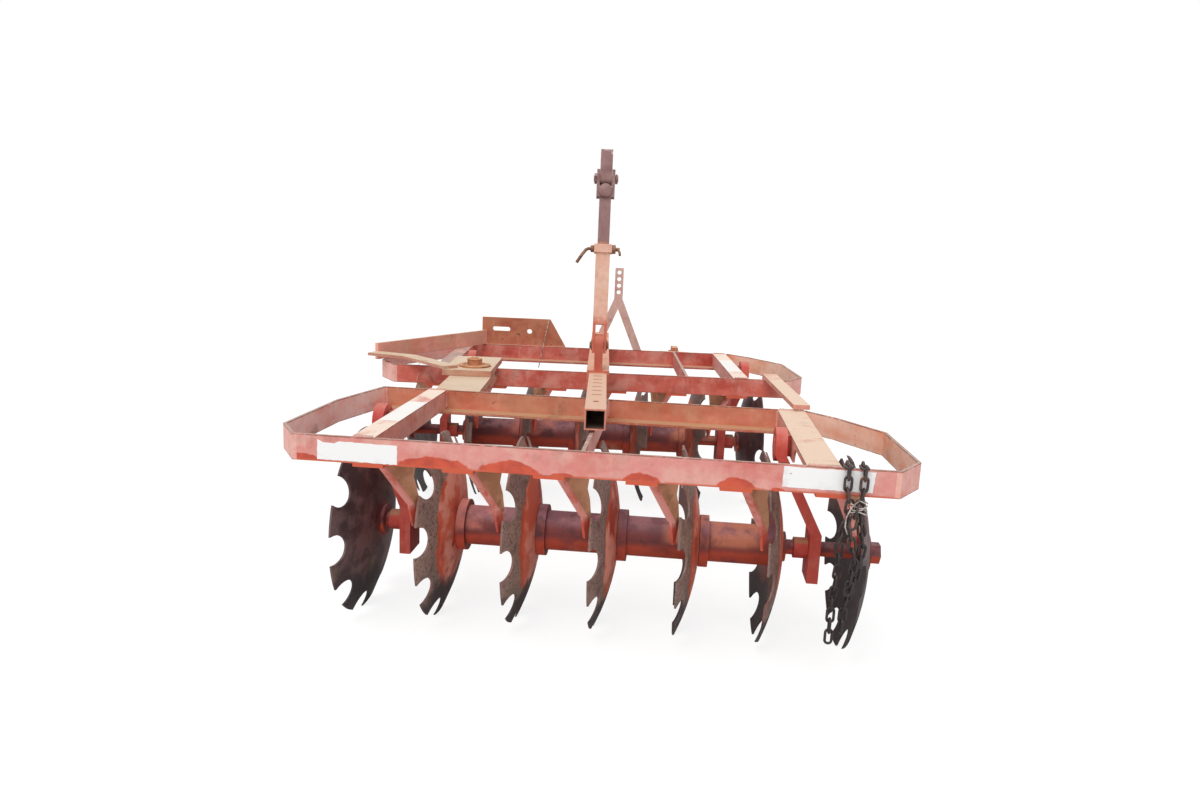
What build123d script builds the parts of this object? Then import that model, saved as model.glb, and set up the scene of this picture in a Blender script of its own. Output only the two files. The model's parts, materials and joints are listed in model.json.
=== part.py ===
from build123d import *
import math
import os

os.makedirs("parts", exist_ok=True)

# An offset disc harrow with two gangs of seven notched discs, in millimetres.
# X points right and Y forward, the way the tractor pulls, and Z up from the ground.
# The model is drawn about the hinge bolt between its two frames, and moved at the end
# so that the middle of its footprint is at X = 0, Y = 0.

# Discs, the same on both gangs
DISCS = 7
DISC_SPACING = 219
DISC_RADIUS = 255
DISC_DEPTH = 62
DISC_THICK = 5
DISC_FLAT_RADIUS = 56
NOTCHES = 10
NOTCH_RADIUS = 40
NOTCH_FROM_RIM = 12
# Turn of each disc on the shaft, in degrees, along the gang
DISC_TURNS = [3, -6, 5, 0, -4, 7, -2]

# Spools and nuts that clamp the discs on the gang shaft
SPOOL_RADIUS = 54
SPOOL_FLANGE_RADIUS = 70
SPOOL_FLANGE_LENGTH = 24
END_SPOOL_RADIUS = 20
END_FLANGE_RADIUS = 40
END_FLANGE_LENGTH = 10
NUT_RADIUS = 29
NUT_LENGTH = 30
WASHER_THICK = 10

# Bearings that the end spools turn in
BEARING_RADIUS = 28
BEARING_LENGTH = 36
BEARING_GAP = 1

# Gang frames: an angle-bar beam front and rear, closed by bent flat-bar hoops
FRAME_OVER_DISCS = 52
BEAM_HEIGHT = 65
BEAM_THICK = 8
BEAM_FLANGE = 58
FRAME_HALF_WIDTH = 705
FRAME_DEPTH = 675
HOOP_STUB = 12
AXLE_Y = 317
DISC_SHIFT = 2
# Columns: middle, width; the right-hand bar of the rear frame is the wide one
CROSS_BARS = {"rear": [(-543, 56), (543, 80)], "front": [(-543, 56), (543, 56)]}
THIN_BARS = {"rear": -13, "front": 346}
# Left and right end of each front beam; the rear frame's runs on to its left-hand hoop
FRONT_BEAMS = {"rear": (-704, 576), "front": (-576, 576)}
CROSS_BAR_WALL = 6
THIN_BAR_THICK = 10
ARCH_HEIGHT = 42
ARCH_FRONT = 250
# Outer corners of a hoop, from the frame's centre and its rear beam. The last one is where
# it slants in to the end of a short front beam.
HOOP_CORNERS = [(783, 100), (773, 425), (665, 592)]

# Where the frames lie from the hinge bolt, with both gangs parallel
FRONT_CENTRE_X = 411
FRONT_FRAME_Y = 90
REAR_CENTRE_X = 515
TONGUE_REACH = 375
REAR_FRAME_Y = -TONGUE_REACH - FRAME_DEPTH
REST_OPEN = 4.9

# Hangers that carry the gang bearings: bent bars beside the cross bars
HANGER_DEPTH = 90
HANGER_THICK = 30
HANGER_OVER_FRAME = 19
HANGER_UNDER_AXLE = 83
HANGER_BEND_UNDER_FRAME = 47
HANGER_BEND_OVER_AXLE = 51
HANGER_HOLE_RADIUS = 9
HANGER_HOLE_FROM_TOP = 26
GUSSET_THICK = 10
# Columns: right-hand face at the top and at the foot
HANGERS = [(-584, -508), (491, 598)]

# Scrapers: a foot under the rear beam, and an upright plate that points into the dish.
# The plate stands at an angle to the beam, with a strip along its near edge.
SCRAPER_FOOT_LENGTH = 57
SCRAPER_FOOT_THICK = 8
SCRAPER_FOOT_DEPTH = 50
SCRAPER_BACK = 74
SCRAPER_FROM_BEAM = 21
SCRAPER_ANGLE = 52
SCRAPER_THICK = 8
SCRAPER_STRIP_WIDTH = 18
SCRAPER_STRIP_FACE = 9
# Columns: distance along the plate, drop below the foot
SCRAPER_NEAR_EDGE = [(0, 0), (86, 114), (98, 174)]
SCRAPER_FAR_EDGE = [(104, 174), (112, 139), (115, 109), (110, 74), (100, 44), (105, 19), (110, 0)]

# Hinge between the frames: a tongue held between two plates by a bolt
TONGUE_THICK = 20
HINGE_PLATE_THICK = 20
HINGE_WIDTH = 140
HINGE_PLATE_REAR = -104
HINGE_PLATE_LEFT = -96
HINGE_PLATE_FRONT = 233
HINGE_GAP = 0.5
HINGE_BOLT_RADIUS = 15
HINGE_BOLT_FIT = 0.1
HINGE_HEAD_RADIUS = 26
HINGE_HEAD_HEIGHT = 18
HINGE_WASHER_RADIUS = 34
HINGE_WASHER_THICK = 5

# Side arm from the hitch to the hinge, bent round a point beyond the left hoop
ARM_POINT = (-400, 197)
ARM_FRONT = (-68, FRONT_FRAME_Y + FRAME_DEPTH + 5)
ARM_HEIGHT = 60
ARM_THICK = 14
STRAP_WIDTH = 58
STRAP_THICK = 10
# Front edge of the strap, from the arm's point over the rear beam to the hinge's top plate
STRAP_EDGE = [(-395, 200), (-240, 145), (-50, -60)]

# Lower hitch brackets on the front beam
HITCH_CENTRE_X = 435
HITCH_HALF_SPAN = 341.5
HITCH_PLATE_WIDTH = 294
HITCH_PLATE_THICK = 12
HITCH_PLATE_OVER_FRAME = 117
HITCH_PLATE_LEFT = -78
HITCH_GUSSET = 69
# Columns: left and right end, height over the frame, radius of the rounded ends
HITCH_PLATE_HOLES = [(-24, 34, 68, 9), (126, 128, 61, 10)]
CHEEK_THICK = 25
CHEEK_NOSE = 40
HITCH_PIN_RADIUS = 11
HITCH_SHANK_RADIUS = 13
HITCH_COLLAR = 8
HITCH_PIN_LENGTH = 92
HITCH_PIN_UNDER_FRAME = 25
HITCH_PIN_FORWARD = 70
PIN_HEAD = 12
PIN_HEAD_RADIUS = 21
LINCH_HOLE_AT = 14
LINCH_HOLE_RADIUS = 5

# Adjusting tube and the sleeve on the front frame that it slides in
TUBE_X = 435
TUBE_SIDE = 55
TUBE_WALL = 5
TUBE_FIT = 0.1
TUBE_FROM_BEAM = 155
TUBE_LENGTH = 1000
SLEEVE_WALL = 8
SLEEVE_REAR_Y = -315
SLOTS = 6
SLOT_PITCH = 64
SLOT_FROM_END = 204
SLOT_LENGTH = 22
SLOT_WIDTH = 9
TUBE_HOLE_RADIUS = 9
TUBE_HOLE_FROM_END = 105

# Top link mast: a fork on the sleeve's lug, a tube, and a bar that slides in it
MAST_LEAN = 8
LUG_THICK = 26
LUG_WIDTH = 70
LUG_PIN_OVER_FRAME = 148
MAST_PIN_RADIUS = 11
FORK_PLATE = 9
FORK_WIDTH = 46
FORK_FOOT = -26
FORK_CROTCH = 65
FORK_TOP = 95
MAST_SIDE = 45
MAST_WALL = 4
MAST_FIT = 0.1
MAST_TOP = 317
COLLAR_SIDE = 56
COLLAR_HEIGHT = 26
BAR_FOOT = 170
BAR_TOP = 465
CLEVIS_PIN_AT = 524
CLEVIS_TOP = 550
CLEVIS_PLATE = 9
CLEVIS_WIDTH = 46
BLOCK_WIDTH = 38
BLOCK_DEPTH = 44
BLOCK_TOP = 612
CLEVIS_PIN_RADIUS = 9.5
LINK_PIN_RADIUS = 9.75
LINK_PIN_FROM_TOP = 30

# Perforated stand for the mast on the front beam
STAND_X = 506
STAND_THICK = 10
STAND_WIDTH = 36
STAND_POST_OVER_FRAME = 183
STAND_TOP_OVER_FRAME = 351
STAND_HOLE_RADIUS = 8.5
STAND_HOLE_PITCH = 28
STAND_HOLES = 4
STAND_LEG_SPREAD = 91

# Support arm from the front frame's right end over the rear frame
SUPPORT_WIDTH = 50
SUPPORT_THICK = 14
SUPPORT_CLEARANCE = 5
SUPPORT_FRONT = (1057, 110)
SUPPORT_REAR_X = 1050
SUPPORT_PAST_BEAM = 105

# Chain hung over the rear frame's rear beam: its links, and the runs that hang in front.
# Columns of a run: place along the beam, distance in front of its face, drop below its top
LINK_WIRE = 6.5
LINK_HALF = 20.5
LINK_SIDE = 11
LINK_BEVEL = 6
LINK_PLAY = 1.2
SHACKLE_HALF = 29.5
CHAIN_LOOPS = [596, 632]
CHAIN_RUNS = [
    [(596, 13, 47), (603, 14, 84), (600, 13, 125), (588, 12, 167), (592, 12, 232), (584, 12, 310), (584, 12, 425)],
    [(632, 13, 47), (627, 14, 84), (634, 13, 132), (642, 12, 182), (632, 12, 252), (612, 12, 332), (611, 12, 385)],
    [(615, 34, 90), (607, 34, 142), (622, 34, 212), (612, 34, 292)],
]

# Heights and places that follow from the sizes above
FRAME_TOP = 2 * DISC_RADIUS + FRAME_OVER_DISCS
BEAM_FOOT = FRAME_TOP - BEAM_HEIGHT
SCRAPER_TOP = BEAM_FOOT - SCRAPER_FOOT_THICK
HITCH_PLATE_TOP = FRAME_TOP + HITCH_PLATE_OVER_FRAME
HITCH_PIN_HEIGHT = FRAME_TOP - HITCH_PIN_UNDER_FRAME
LUG_PIN_HEIGHT = FRAME_TOP + LUG_PIN_OVER_FRAME
STAND_FOOT = FRAME_TOP + STAND_POST_OVER_FRAME
STAND_TOP = FRAME_TOP + STAND_TOP_OVER_FRAME
TUBE_REAR_Y = REAR_FRAME_Y + TUBE_FROM_BEAM
SUPPORT_REAR = (SUPPORT_REAR_X, -TONGUE_REACH - SUPPORT_PAST_BEAM)
BAR_SIDE = MAST_SIDE - 2 * MAST_WALL - 2 * MAST_FIT


def block(x0, x1, y0, y1, z0, z1):
    """A box between two corners."""
    return Pos((x0 + x1) / 2, (y0 + y1) / 2, (z0 + z1) / 2) * Box(abs(x1 - x0), abs(y1 - y0), abs(z1 - z0))


def rod(x0, x1, y, z, radius):
    """A round bar along X."""
    return Pos((x0 + x1) / 2, y, z) * Rot(0, 90, 0) * Cylinder(radius, abs(x1 - x0))


def inset(points, thick):
    """Points of an open outline moved to its left by a wall, with mitred corners."""
    moved = []
    for i, point in enumerate(points):
        before = Vector(*points[max(i - 1, 0)])
        here = Vector(*point)
        after = Vector(*points[min(i + 1, len(points) - 1)])
        into = (here - before).normalized() if i else (after - here).normalized()
        out = (after - here).normalized() if i < len(points) - 1 else into
        normal_in = Vector(-into.Y, into.X)
        normal_out = Vector(-out.Y, out.X)
        mitre = (normal_in + normal_out).normalized()
        moved.append(here + mitre * (thick / mitre.dot(normal_in)))
    return moved


def bent_bar(points, thick, z0, z1):
    """A flat bar on edge, bent along an outline that is its right-hand face."""
    outline = [Vector(*p) for p in points] + list(reversed(inset(points, thick)))
    face = make_face(Polyline(*outline, close=True))
    return Pos(0, 0, z0) * extrude(face, z1 - z0)


def upright_plate(points, y0, y1):
    """A plate between two planes across Y, from its outline in X and Z."""
    face = make_face(Plane.XZ * Polyline(*points, close=True))
    return Pos(0, (y0 + y1) / 2, 0) * extrude(face, abs(y1 - y0) / 2, both=True)


def flat_plate(points, z0, z1):
    """A plate between two heights, from its outline in X and Y."""
    return Pos(0, 0, (z0 + z1) / 2) * extrude(make_face(Polyline(*points, close=True)), (z1 - z0) / 2, both=True)


def disc(turn):
    """One notched dished disc about the X axis: the rim at X = 0, the dish towards +X."""
    rise = DISC_DEPTH - DISC_THICK
    sphere = (DISC_RADIUS ** 2 + rise ** 2) / (2 * rise)
    at_flat = sphere - math.sqrt(sphere ** 2 - DISC_FLAT_RADIUS ** 2)
    half = DISC_RADIUS / 2
    at_half = sphere - math.sqrt(sphere ** 2 - half ** 2)
    inner = [(rise - at_flat, DISC_FLAT_RADIUS), (rise - at_half, half), (0, DISC_RADIUS)]
    outer = [(x + DISC_THICK, y) for x, y in inner]
    section = make_face(
        Polyline((rise - at_flat, 0), inner[0])
        + ThreePointArc(*inner)
        + Line(inner[2], outer[2])
        + ThreePointArc(*reversed(outer))
        + Polyline(outer[0], (outer[0][0], 0), (rise - at_flat, 0))
    )
    dish = revolve(section, Axis.X)
    cuts = []
    for i in range(NOTCHES):
        angle = 360 * (i + 0.5) / NOTCHES + turn
        cuts.append(Rot(angle, 0, 0) * rod(-1, DISC_DEPTH, 0, NOTCH_FROM_RIM - DISC_RADIUS, NOTCH_RADIUS))
    return dish - cuts


def seat_faces():
    """The flat faces of a disc's centre, from its rim: the hollow side and the domed side."""
    rise = DISC_DEPTH - DISC_THICK
    sphere = (DISC_RADIUS ** 2 + rise ** 2) / (2 * rise)
    hollow = rise - sphere + math.sqrt(sphere ** 2 - DISC_FLAT_RADIUS ** 2)
    return hollow, hollow + DISC_THICK


SEAT_HOLLOW, SEAT_DOMED = seat_faces()
RIMS = [(i - (DISCS - 1) / 2) * DISC_SPACING for i in range(DISCS)]


def gang_discs():
    return [Pos(rim, 0, 0) * disc(turn) for rim, turn in zip(RIMS, DISC_TURNS)]


def gang_spools():
    spools = []
    for i in range(DISCS - 1):
        x0 = RIMS[i] + SEAT_DOMED
        x1 = RIMS[i + 1] + SEAT_HOLLOW
        if i in (0, DISCS - 2):
            spool = rod(x0, x1, 0, 0, END_SPOOL_RADIUS)
            spool += rod(x0, x0 + END_FLANGE_LENGTH, 0, 0, END_FLANGE_RADIUS)
            spool += rod(x1 - END_FLANGE_LENGTH, x1, 0, 0, END_FLANGE_RADIUS)
        else:
            spool = rod(x0, x1, 0, 0, SPOOL_RADIUS)
            spool += rod(x0, x0 + SPOOL_FLANGE_LENGTH, 0, 0, SPOOL_FLANGE_RADIUS)
        spools.append(spool)
    for x0, way in ((RIMS[0] + SEAT_HOLLOW, -1), (RIMS[-1] + SEAT_DOMED, 1)):
        x1 = x0 + way * WASHER_THICK
        nut = extrude(Plane.YZ * RegularPolygon(NUT_RADIUS, 6), NUT_LENGTH / 2, both=True)
        nut = Pos(x1 + way * NUT_LENGTH / 2, 0, 0) * nut
        spools.append(rod(x0, x1, 0, 0, DISC_FLAT_RADIUS - 4) + nut)
    return spools


def frame_hangers(bars):
    """The hangers, each with the bearing at its foot and a gusset to its cross bar."""
    hangers = []
    low_y, high_y = AXLE_Y - HANGER_DEPTH / 2, AXLE_Y + HANGER_DEPTH / 2
    hanger_top = FRAME_TOP + HANGER_OVER_FRAME
    straight_top = hanger_top - HANGER_DEPTH / 2
    bend_foot = DISC_RADIUS + HANGER_BEND_OVER_AXLE
    hanger_foot = DISC_RADIUS - HANGER_UNDER_AXLE
    for (top, foot), (bar_x, bar_width) in zip(HANGERS, bars):
        path = [(top, straight_top), (top, FRAME_TOP - HANGER_BEND_UNDER_FRAME), (foot, bend_foot), (foot, hanger_foot)]
        left = [(x - HANGER_THICK, z) for x, z in reversed(path)]
        hanger = upright_plate(path + left, low_y, high_y)
        hanger += rod(top - HANGER_THICK, top, AXLE_Y, straight_top, HANGER_DEPTH / 2)
        hanger -= rod(top - 2 * HANGER_THICK, top + HANGER_THICK, AXLE_Y, hanger_top - HANGER_HOLE_FROM_TOP,
                      HANGER_HOLE_RADIUS)
        hanger += block(top, bar_x - bar_width / 2, AXLE_Y - GUSSET_THICK / 2, AXLE_Y + GUSSET_THICK / 2,
                        BEAM_FOOT + BEAM_THICK, FRAME_TOP)
        back = foot - HANGER_THICK - BEARING_LENGTH
        hanger += rod(back, foot - HANGER_THICK, AXLE_Y, DISC_RADIUS, BEARING_RADIUS)
        hangers.append(hanger - rod(back - 1, foot + 1, AXLE_Y, DISC_RADIUS, END_SPOOL_RADIUS + BEARING_GAP))
    return hangers


def frame_scrapers():
    scrapers = []
    near = [(along, SCRAPER_TOP - drop) for along, drop in SCRAPER_NEAR_EDGE]
    far = [(along, SCRAPER_TOP - drop) for along, drop in SCRAPER_FAR_EDGE]
    strip = [(along + SCRAPER_STRIP_FACE, z) for along, z in reversed(near[:2])]
    blade = upright_plate(near + far, -SCRAPER_THICK / 2, SCRAPER_THICK / 2)
    blade += upright_plate(near[:2] + strip, -SCRAPER_STRIP_WIDTH / 2, SCRAPER_STRIP_WIDTH / 2)
    for rim in RIMS[1:]:
        x = rim + DISC_SHIFT - SCRAPER_BACK
        foot = block(x - SCRAPER_FOOT_LENGTH, x + SCRAPER_STRIP_WIDTH, 0, SCRAPER_FOOT_DEPTH,
                     SCRAPER_TOP, BEAM_FOOT)
        scrapers.append(foot + Pos(x, SCRAPER_FROM_BEAM, 0) * Rot(0, 0, SCRAPER_ANGLE) * blade)
    return scrapers


def frame_rear_beam():
    web = block(-FRAME_HALF_WIDTH, FRAME_HALF_WIDTH, 0, BEAM_THICK, BEAM_FOOT, FRAME_TOP)
    return web + block(-FRAME_HALF_WIDTH, FRAME_HALF_WIDTH, 0, BEAM_FLANGE, BEAM_FOOT, BEAM_FOOT + BEAM_THICK)


def frame_front_beam(left, right):
    y1 = FRAME_DEPTH
    web = block(left, right, y1 - BEAM_THICK, y1, BEAM_FOOT, FRAME_TOP)
    return web + block(left, right, y1 - BEAM_FLANGE, y1, BEAM_FOOT, BEAM_FOOT + BEAM_THICK)


def frame_hoop(beam_end):
    """The right-hand hoop, round to the end of the front beam."""
    corners = [corner for corner in HOOP_CORNERS if corner[0] > beam_end + HOOP_STUB]
    points = [(FRAME_HALF_WIDTH, 0), (FRAME_HALF_WIDTH + HOOP_STUB, 0)] + corners
    points += [(beam_end + HOOP_STUB, FRAME_DEPTH), (beam_end, FRAME_DEPTH)]
    return bent_bar(points, BEAM_THICK, BEAM_FOOT, FRAME_TOP)


def cross_bar(x, width):
    """A channel, open below, that rests on the flanges of both beams."""
    half = width / 2
    foot = BEAM_FOOT + BEAM_THICK
    outside = block(x - half, x + half, BEAM_THICK, FRAME_DEPTH - BEAM_THICK, foot, FRAME_TOP)
    return outside - block(x - half + CROSS_BAR_WALL, x + half - CROSS_BAR_WALL, 0, FRAME_DEPTH,
                           foot - 1, FRAME_TOP - CROSS_BAR_WALL)


def thin_bar(x):
    half = THIN_BAR_THICK / 2
    return block(x - half, x + half, BEAM_THICK, FRAME_DEPTH - BEAM_THICK, BEAM_FOOT + BEAM_THICK, FRAME_TOP)


def side_arch():
    """The arch cut in the left wall of the rear frame's right cross bar, by the rear beam."""
    middle, width = CROSS_BARS["rear"][1]
    wall_x = middle - width / 2
    foot = BEAM_FOOT + BEAM_THICK
    arch = rod(wall_x - 1, wall_x + CROSS_BAR_WALL, ARCH_FRONT - ARCH_HEIGHT, foot, ARCH_HEIGHT)
    return arch + block(wall_x - 1, wall_x + CROSS_BAR_WALL, BEAM_FLANGE, ARCH_FRONT - ARCH_HEIGHT, foot - ARCH_HEIGHT, foot + ARCH_HEIGHT)


def mirrored(shapes):
    return [mirror(s, about=Plane.YZ) for s in shapes]


PLACE_FRONT = Pos(FRONT_CENTRE_X, FRONT_FRAME_Y, 0)
PLACE_REAR = Rot(0, 0, -REST_OPEN) * Pos(REAR_CENTRE_X, REAR_FRAME_Y, 0)
PLACE_FRONT_GANG = PLACE_FRONT * Pos(-DISC_SHIFT, AXLE_Y, DISC_RADIUS)
PLACE_REAR_GANG = PLACE_REAR * Pos(DISC_SHIFT, AXLE_Y, DISC_RADIUS)

nodes = {}


def add(name, shapes, place=Pos(0, 0, 0)):
    if not isinstance(shapes, list):
        shapes = [shapes]
    nodes[name] = [solid for shape in shapes for solid in (place * shape).solids()]


# The two gangs are mirror images of each other
add("rear_discs", gang_discs(), PLACE_REAR_GANG)
add("rear_spools", gang_spools(), PLACE_REAR_GANG)
add("front_discs", mirrored(gang_discs()), PLACE_FRONT_GANG)
add("front_spools", mirrored(gang_spools()), PLACE_FRONT_GANG)

# The two frames, with their hangers, bearings and scrapers mirrored with the gangs
for side, place in (("rear", PLACE_REAR), ("front", PLACE_FRONT)):
    flip = mirrored if side == "front" else list
    add(side + "_rear_beam", frame_rear_beam(), place)
    left_end, right_end = FRONT_BEAMS[side]
    add(side + "_front_beam", frame_front_beam(left_end, right_end), place)
    add(side + "_right_hoop", frame_hoop(right_end), place)
    add(side + "_left_hoop", mirrored([frame_hoop(-left_end)]), place)
    left_bar, right_bar = [cross_bar(x, width) for x, width in CROSS_BARS[side]]
    if side == "rear":
        right_bar -= side_arch()
    add(side + "_left_cross_bar", left_bar, place)
    add(side + "_right_cross_bar", right_bar, place)
    add(side + "_thin_bar", thin_bar(THIN_BARS[side]), place)
    hangers = sorted(flip(frame_hangers(CROSS_BARS[side])), key=lambda shape: shape.center().X)
    add(side + "_left_hanger", hangers[0], place)
    add(side + "_right_hanger", hangers[1], place)
    add(side + "_scrapers", flip(frame_scrapers()), place)

# Hinge between the frames: the tongue lies flush with the frame's top, under the top plate.
# It points straight back when the harrow is parked, and is cut to the rear frame's beam.
half = HINGE_WIDTH / 2
tongue_top = FRAME_TOP - HINGE_GAP
tongue_foot = tongue_top - TONGUE_THICK
lower_top = tongue_foot - HINGE_GAP
plate_top = FRAME_TOP + HINGE_PLATE_THICK
tongue = block(-half, half, -TONGUE_REACH - half, 0, tongue_foot, tongue_top)
tongue -= PLACE_REAR * block(-FRAME_HALF_WIDTH, FRAME_HALF_WIDTH, 0, FRAME_DEPTH, 0, FRAME_TOP)
tongue += Pos(0, 0, (tongue_foot + tongue_top) / 2) * Cylinder(half, TONGUE_THICK)
tongue -= Pos(0, 0, tongue_foot) * Cylinder(HINGE_BOLT_RADIUS + HINGE_BOLT_FIT, 4 * TONGUE_THICK)
add("hinge_tongue", tongue)

top_plate = block(HINGE_PLATE_LEFT, half, HINGE_PLATE_REAR, HINGE_PLATE_FRONT, FRAME_TOP, plate_top)
top_plate -= Pos(0, 0, plate_top) * Cylinder(HINGE_BOLT_RADIUS, 4 * HINGE_PLATE_THICK)
add("hinge_top_plate", top_plate)
low_plate = block(-half, half, HINGE_PLATE_REAR, FRONT_FRAME_Y, lower_top - HINGE_PLATE_THICK, lower_top)
low_plate -= Pos(0, 0, lower_top) * Cylinder(HINGE_BOLT_RADIUS, 4 * HINGE_PLATE_THICK)
add("hinge_lower_plate", low_plate)
bolt_foot = lower_top - HINGE_PLATE_THICK
bolt = Pos(0, 0, (bolt_foot + plate_top) / 2) * Cylinder(HINGE_BOLT_RADIUS, plate_top - bolt_foot)
bolt += Pos(0, 0, plate_top + HINGE_WASHER_THICK / 2) * Cylinder(HINGE_WASHER_RADIUS, HINGE_WASHER_THICK)
head = Pos(0, 0, HINGE_HEAD_HEIGHT / 2) * extrude(RegularPolygon(HINGE_HEAD_RADIUS, 6), HINGE_HEAD_HEIGHT / 2, both=True)
bolt += Pos(0, 0, plate_top + HINGE_WASHER_THICK) * head
bolt += Pos(0, 0, bolt_foot - HINGE_HEAD_HEIGHT) * head
add("hinge_bolt", bolt)

# Side arm and strap
front_y = FRONT_FRAME_Y + FRAME_DEPTH
side_arm = bent_bar([ARM_POINT, ARM_FRONT], -ARM_THICK, FRAME_TOP, FRAME_TOP + ARM_HEIGHT)
side_arm -= block(ARM_POINT[0], 0, front_y, front_y + ARM_HEIGHT, 0, 2 * FRAME_TOP)
add("side_arm", side_arm)
outline = [Vector(*p) for p in STRAP_EDGE] + list(reversed(inset(STRAP_EDGE, -STRAP_WIDTH)))
add("strap", flat_plate(outline, plate_top, plate_top + STRAP_THICK) - side_arm)

# Lower hitch brackets: a tall plate on the left and a low one on the right, each with a
# cheek in front and a pin that points outwards
plate_right = HITCH_PLATE_LEFT + HITCH_PLATE_WIDTH
gusset_right = plate_right + HITCH_GUSSET
plates = {
    "left": [(HITCH_PLATE_LEFT, BEAM_FOOT), (gusset_right, BEAM_FOOT), (gusset_right, FRAME_TOP),
             (plate_right, HITCH_PLATE_TOP), (HITCH_PLATE_LEFT, HITCH_PLATE_TOP)],
    "right": [(x, z) for x, z in zip(
        (HITCH_CENTRE_X + HITCH_HALF_SPAN - 2 * CHEEK_NOSE, HITCH_CENTRE_X + HITCH_HALF_SPAN + CHEEK_NOSE) * 2,
        (BEAM_FOOT, BEAM_FOOT, FRAME_TOP, FRAME_TOP))],
}
plates["right"][2:] = reversed(plates["right"][2:])
pin_y = front_y + HITCH_PLATE_THICK + HITCH_PIN_FORWARD
for side, way in (("left", -1), ("right", 1)):
    face_x = HITCH_CENTRE_X + way * HITCH_HALF_SPAN
    back_x = face_x - way * CHEEK_THICK
    plate = upright_plate(plates[side], front_y, front_y + HITCH_PLATE_THICK)
    if side == "left":
        for x0, x1, over, radius in HITCH_PLATE_HOLES:
            z = FRAME_TOP + over
            plate -= block(x0, x1, front_y - 1, front_y + 2 * HITCH_PLATE_THICK, z - radius, z + radius)
            for x in (x0, x1):
                plate -= Pos(x, front_y, z) * Rot(90, 0, 0) * Cylinder(radius, 4 * HITCH_PLATE_THICK)
    cheek = block(back_x, face_x, front_y + HITCH_PLATE_THICK, pin_y, HITCH_PIN_HEIGHT - CHEEK_NOSE,
                  HITCH_PIN_HEIGHT + CHEEK_NOSE)
    cheek += rod(back_x, face_x, pin_y, HITCH_PIN_HEIGHT, CHEEK_NOSE)
    cheek -= rod(back_x - way, face_x + way, pin_y, HITCH_PIN_HEIGHT, HITCH_SHANK_RADIUS)
    add("hitch_plate_" + side, plate + cheek)
    end_x = face_x + way * HITCH_PIN_LENGTH
    collar_x = face_x + way * HITCH_COLLAR
    pin = rod(back_x, face_x, pin_y, HITCH_PIN_HEIGHT, HITCH_SHANK_RADIUS)
    pin += rod(face_x, collar_x, pin_y, HITCH_PIN_HEIGHT, PIN_HEAD_RADIUS)
    pin += rod(collar_x, end_x, pin_y, HITCH_PIN_HEIGHT, HITCH_PIN_RADIUS)
    pin += rod(back_x - way * PIN_HEAD, back_x, pin_y, HITCH_PIN_HEIGHT, PIN_HEAD_RADIUS)
    hole_x = end_x - way * LINCH_HOLE_AT
    pin -= Pos(hole_x, pin_y, HITCH_PIN_HEIGHT) * Cylinder(LINCH_HOLE_RADIUS, 4 * HITCH_PIN_RADIUS)
    add("hitch_pin_" + side, pin)

# Adjusting tube, its sleeve and the lug on the sleeve
tube_half = TUBE_SIDE / 2
sleeve_half = tube_half + TUBE_FIT + SLEEVE_WALL
tube_z = FRAME_TOP + sleeve_half
tube = block(TUBE_X - tube_half, TUBE_X + tube_half, TUBE_REAR_Y, TUBE_REAR_Y + TUBE_LENGTH,
             tube_z - tube_half, tube_z + tube_half)
bore = tube_half - TUBE_WALL
tube -= block(TUBE_X - bore, TUBE_X + bore, TUBE_REAR_Y - 1, TUBE_REAR_Y + TUBE_LENGTH + 1,
              tube_z - bore, tube_z + bore)
for i in range(SLOTS):
    y = TUBE_REAR_Y + SLOT_FROM_END + i * SLOT_PITCH
    tube -= block(TUBE_X - SLOT_LENGTH / 2, TUBE_X + SLOT_LENGTH / 2, y - SLOT_WIDTH / 2, y + SLOT_WIDTH / 2,
                  tube_z, tube_z + TUBE_SIDE)
tube -= Pos(TUBE_X, TUBE_REAR_Y + TUBE_HOLE_FROM_END, tube_z + tube_half) * Cylinder(TUBE_HOLE_RADIUS, TUBE_SIDE / 2)
add("adjusting_tube", tube)

sleeve = block(TUBE_X - sleeve_half, TUBE_X + sleeve_half, SLEEVE_REAR_Y, front_y,
               tube_z - sleeve_half, tube_z + sleeve_half)
bore = tube_half + TUBE_FIT
sleeve -= block(TUBE_X - bore, TUBE_X + bore, SLEEVE_REAR_Y - 1, front_y + 1, tube_z - bore, tube_z + bore)
sleeve_top = tube_z + sleeve_half
lug_y = SLEEVE_REAR_Y + LUG_WIDTH / 2
lug = block(TUBE_X - LUG_THICK / 2, TUBE_X + LUG_THICK / 2, lug_y - LUG_WIDTH / 2, lug_y + LUG_WIDTH / 2,
            sleeve_top, LUG_PIN_HEIGHT)
lug += rod(TUBE_X - LUG_THICK / 2, TUBE_X + LUG_THICK / 2, lug_y, LUG_PIN_HEIGHT, LUG_WIDTH / 2)
lug -= rod(TUBE_X - LUG_THICK, TUBE_X + LUG_THICK, lug_y, LUG_PIN_HEIGHT, MAST_PIN_RADIUS)
add("sleeve", sleeve + lug)

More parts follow.
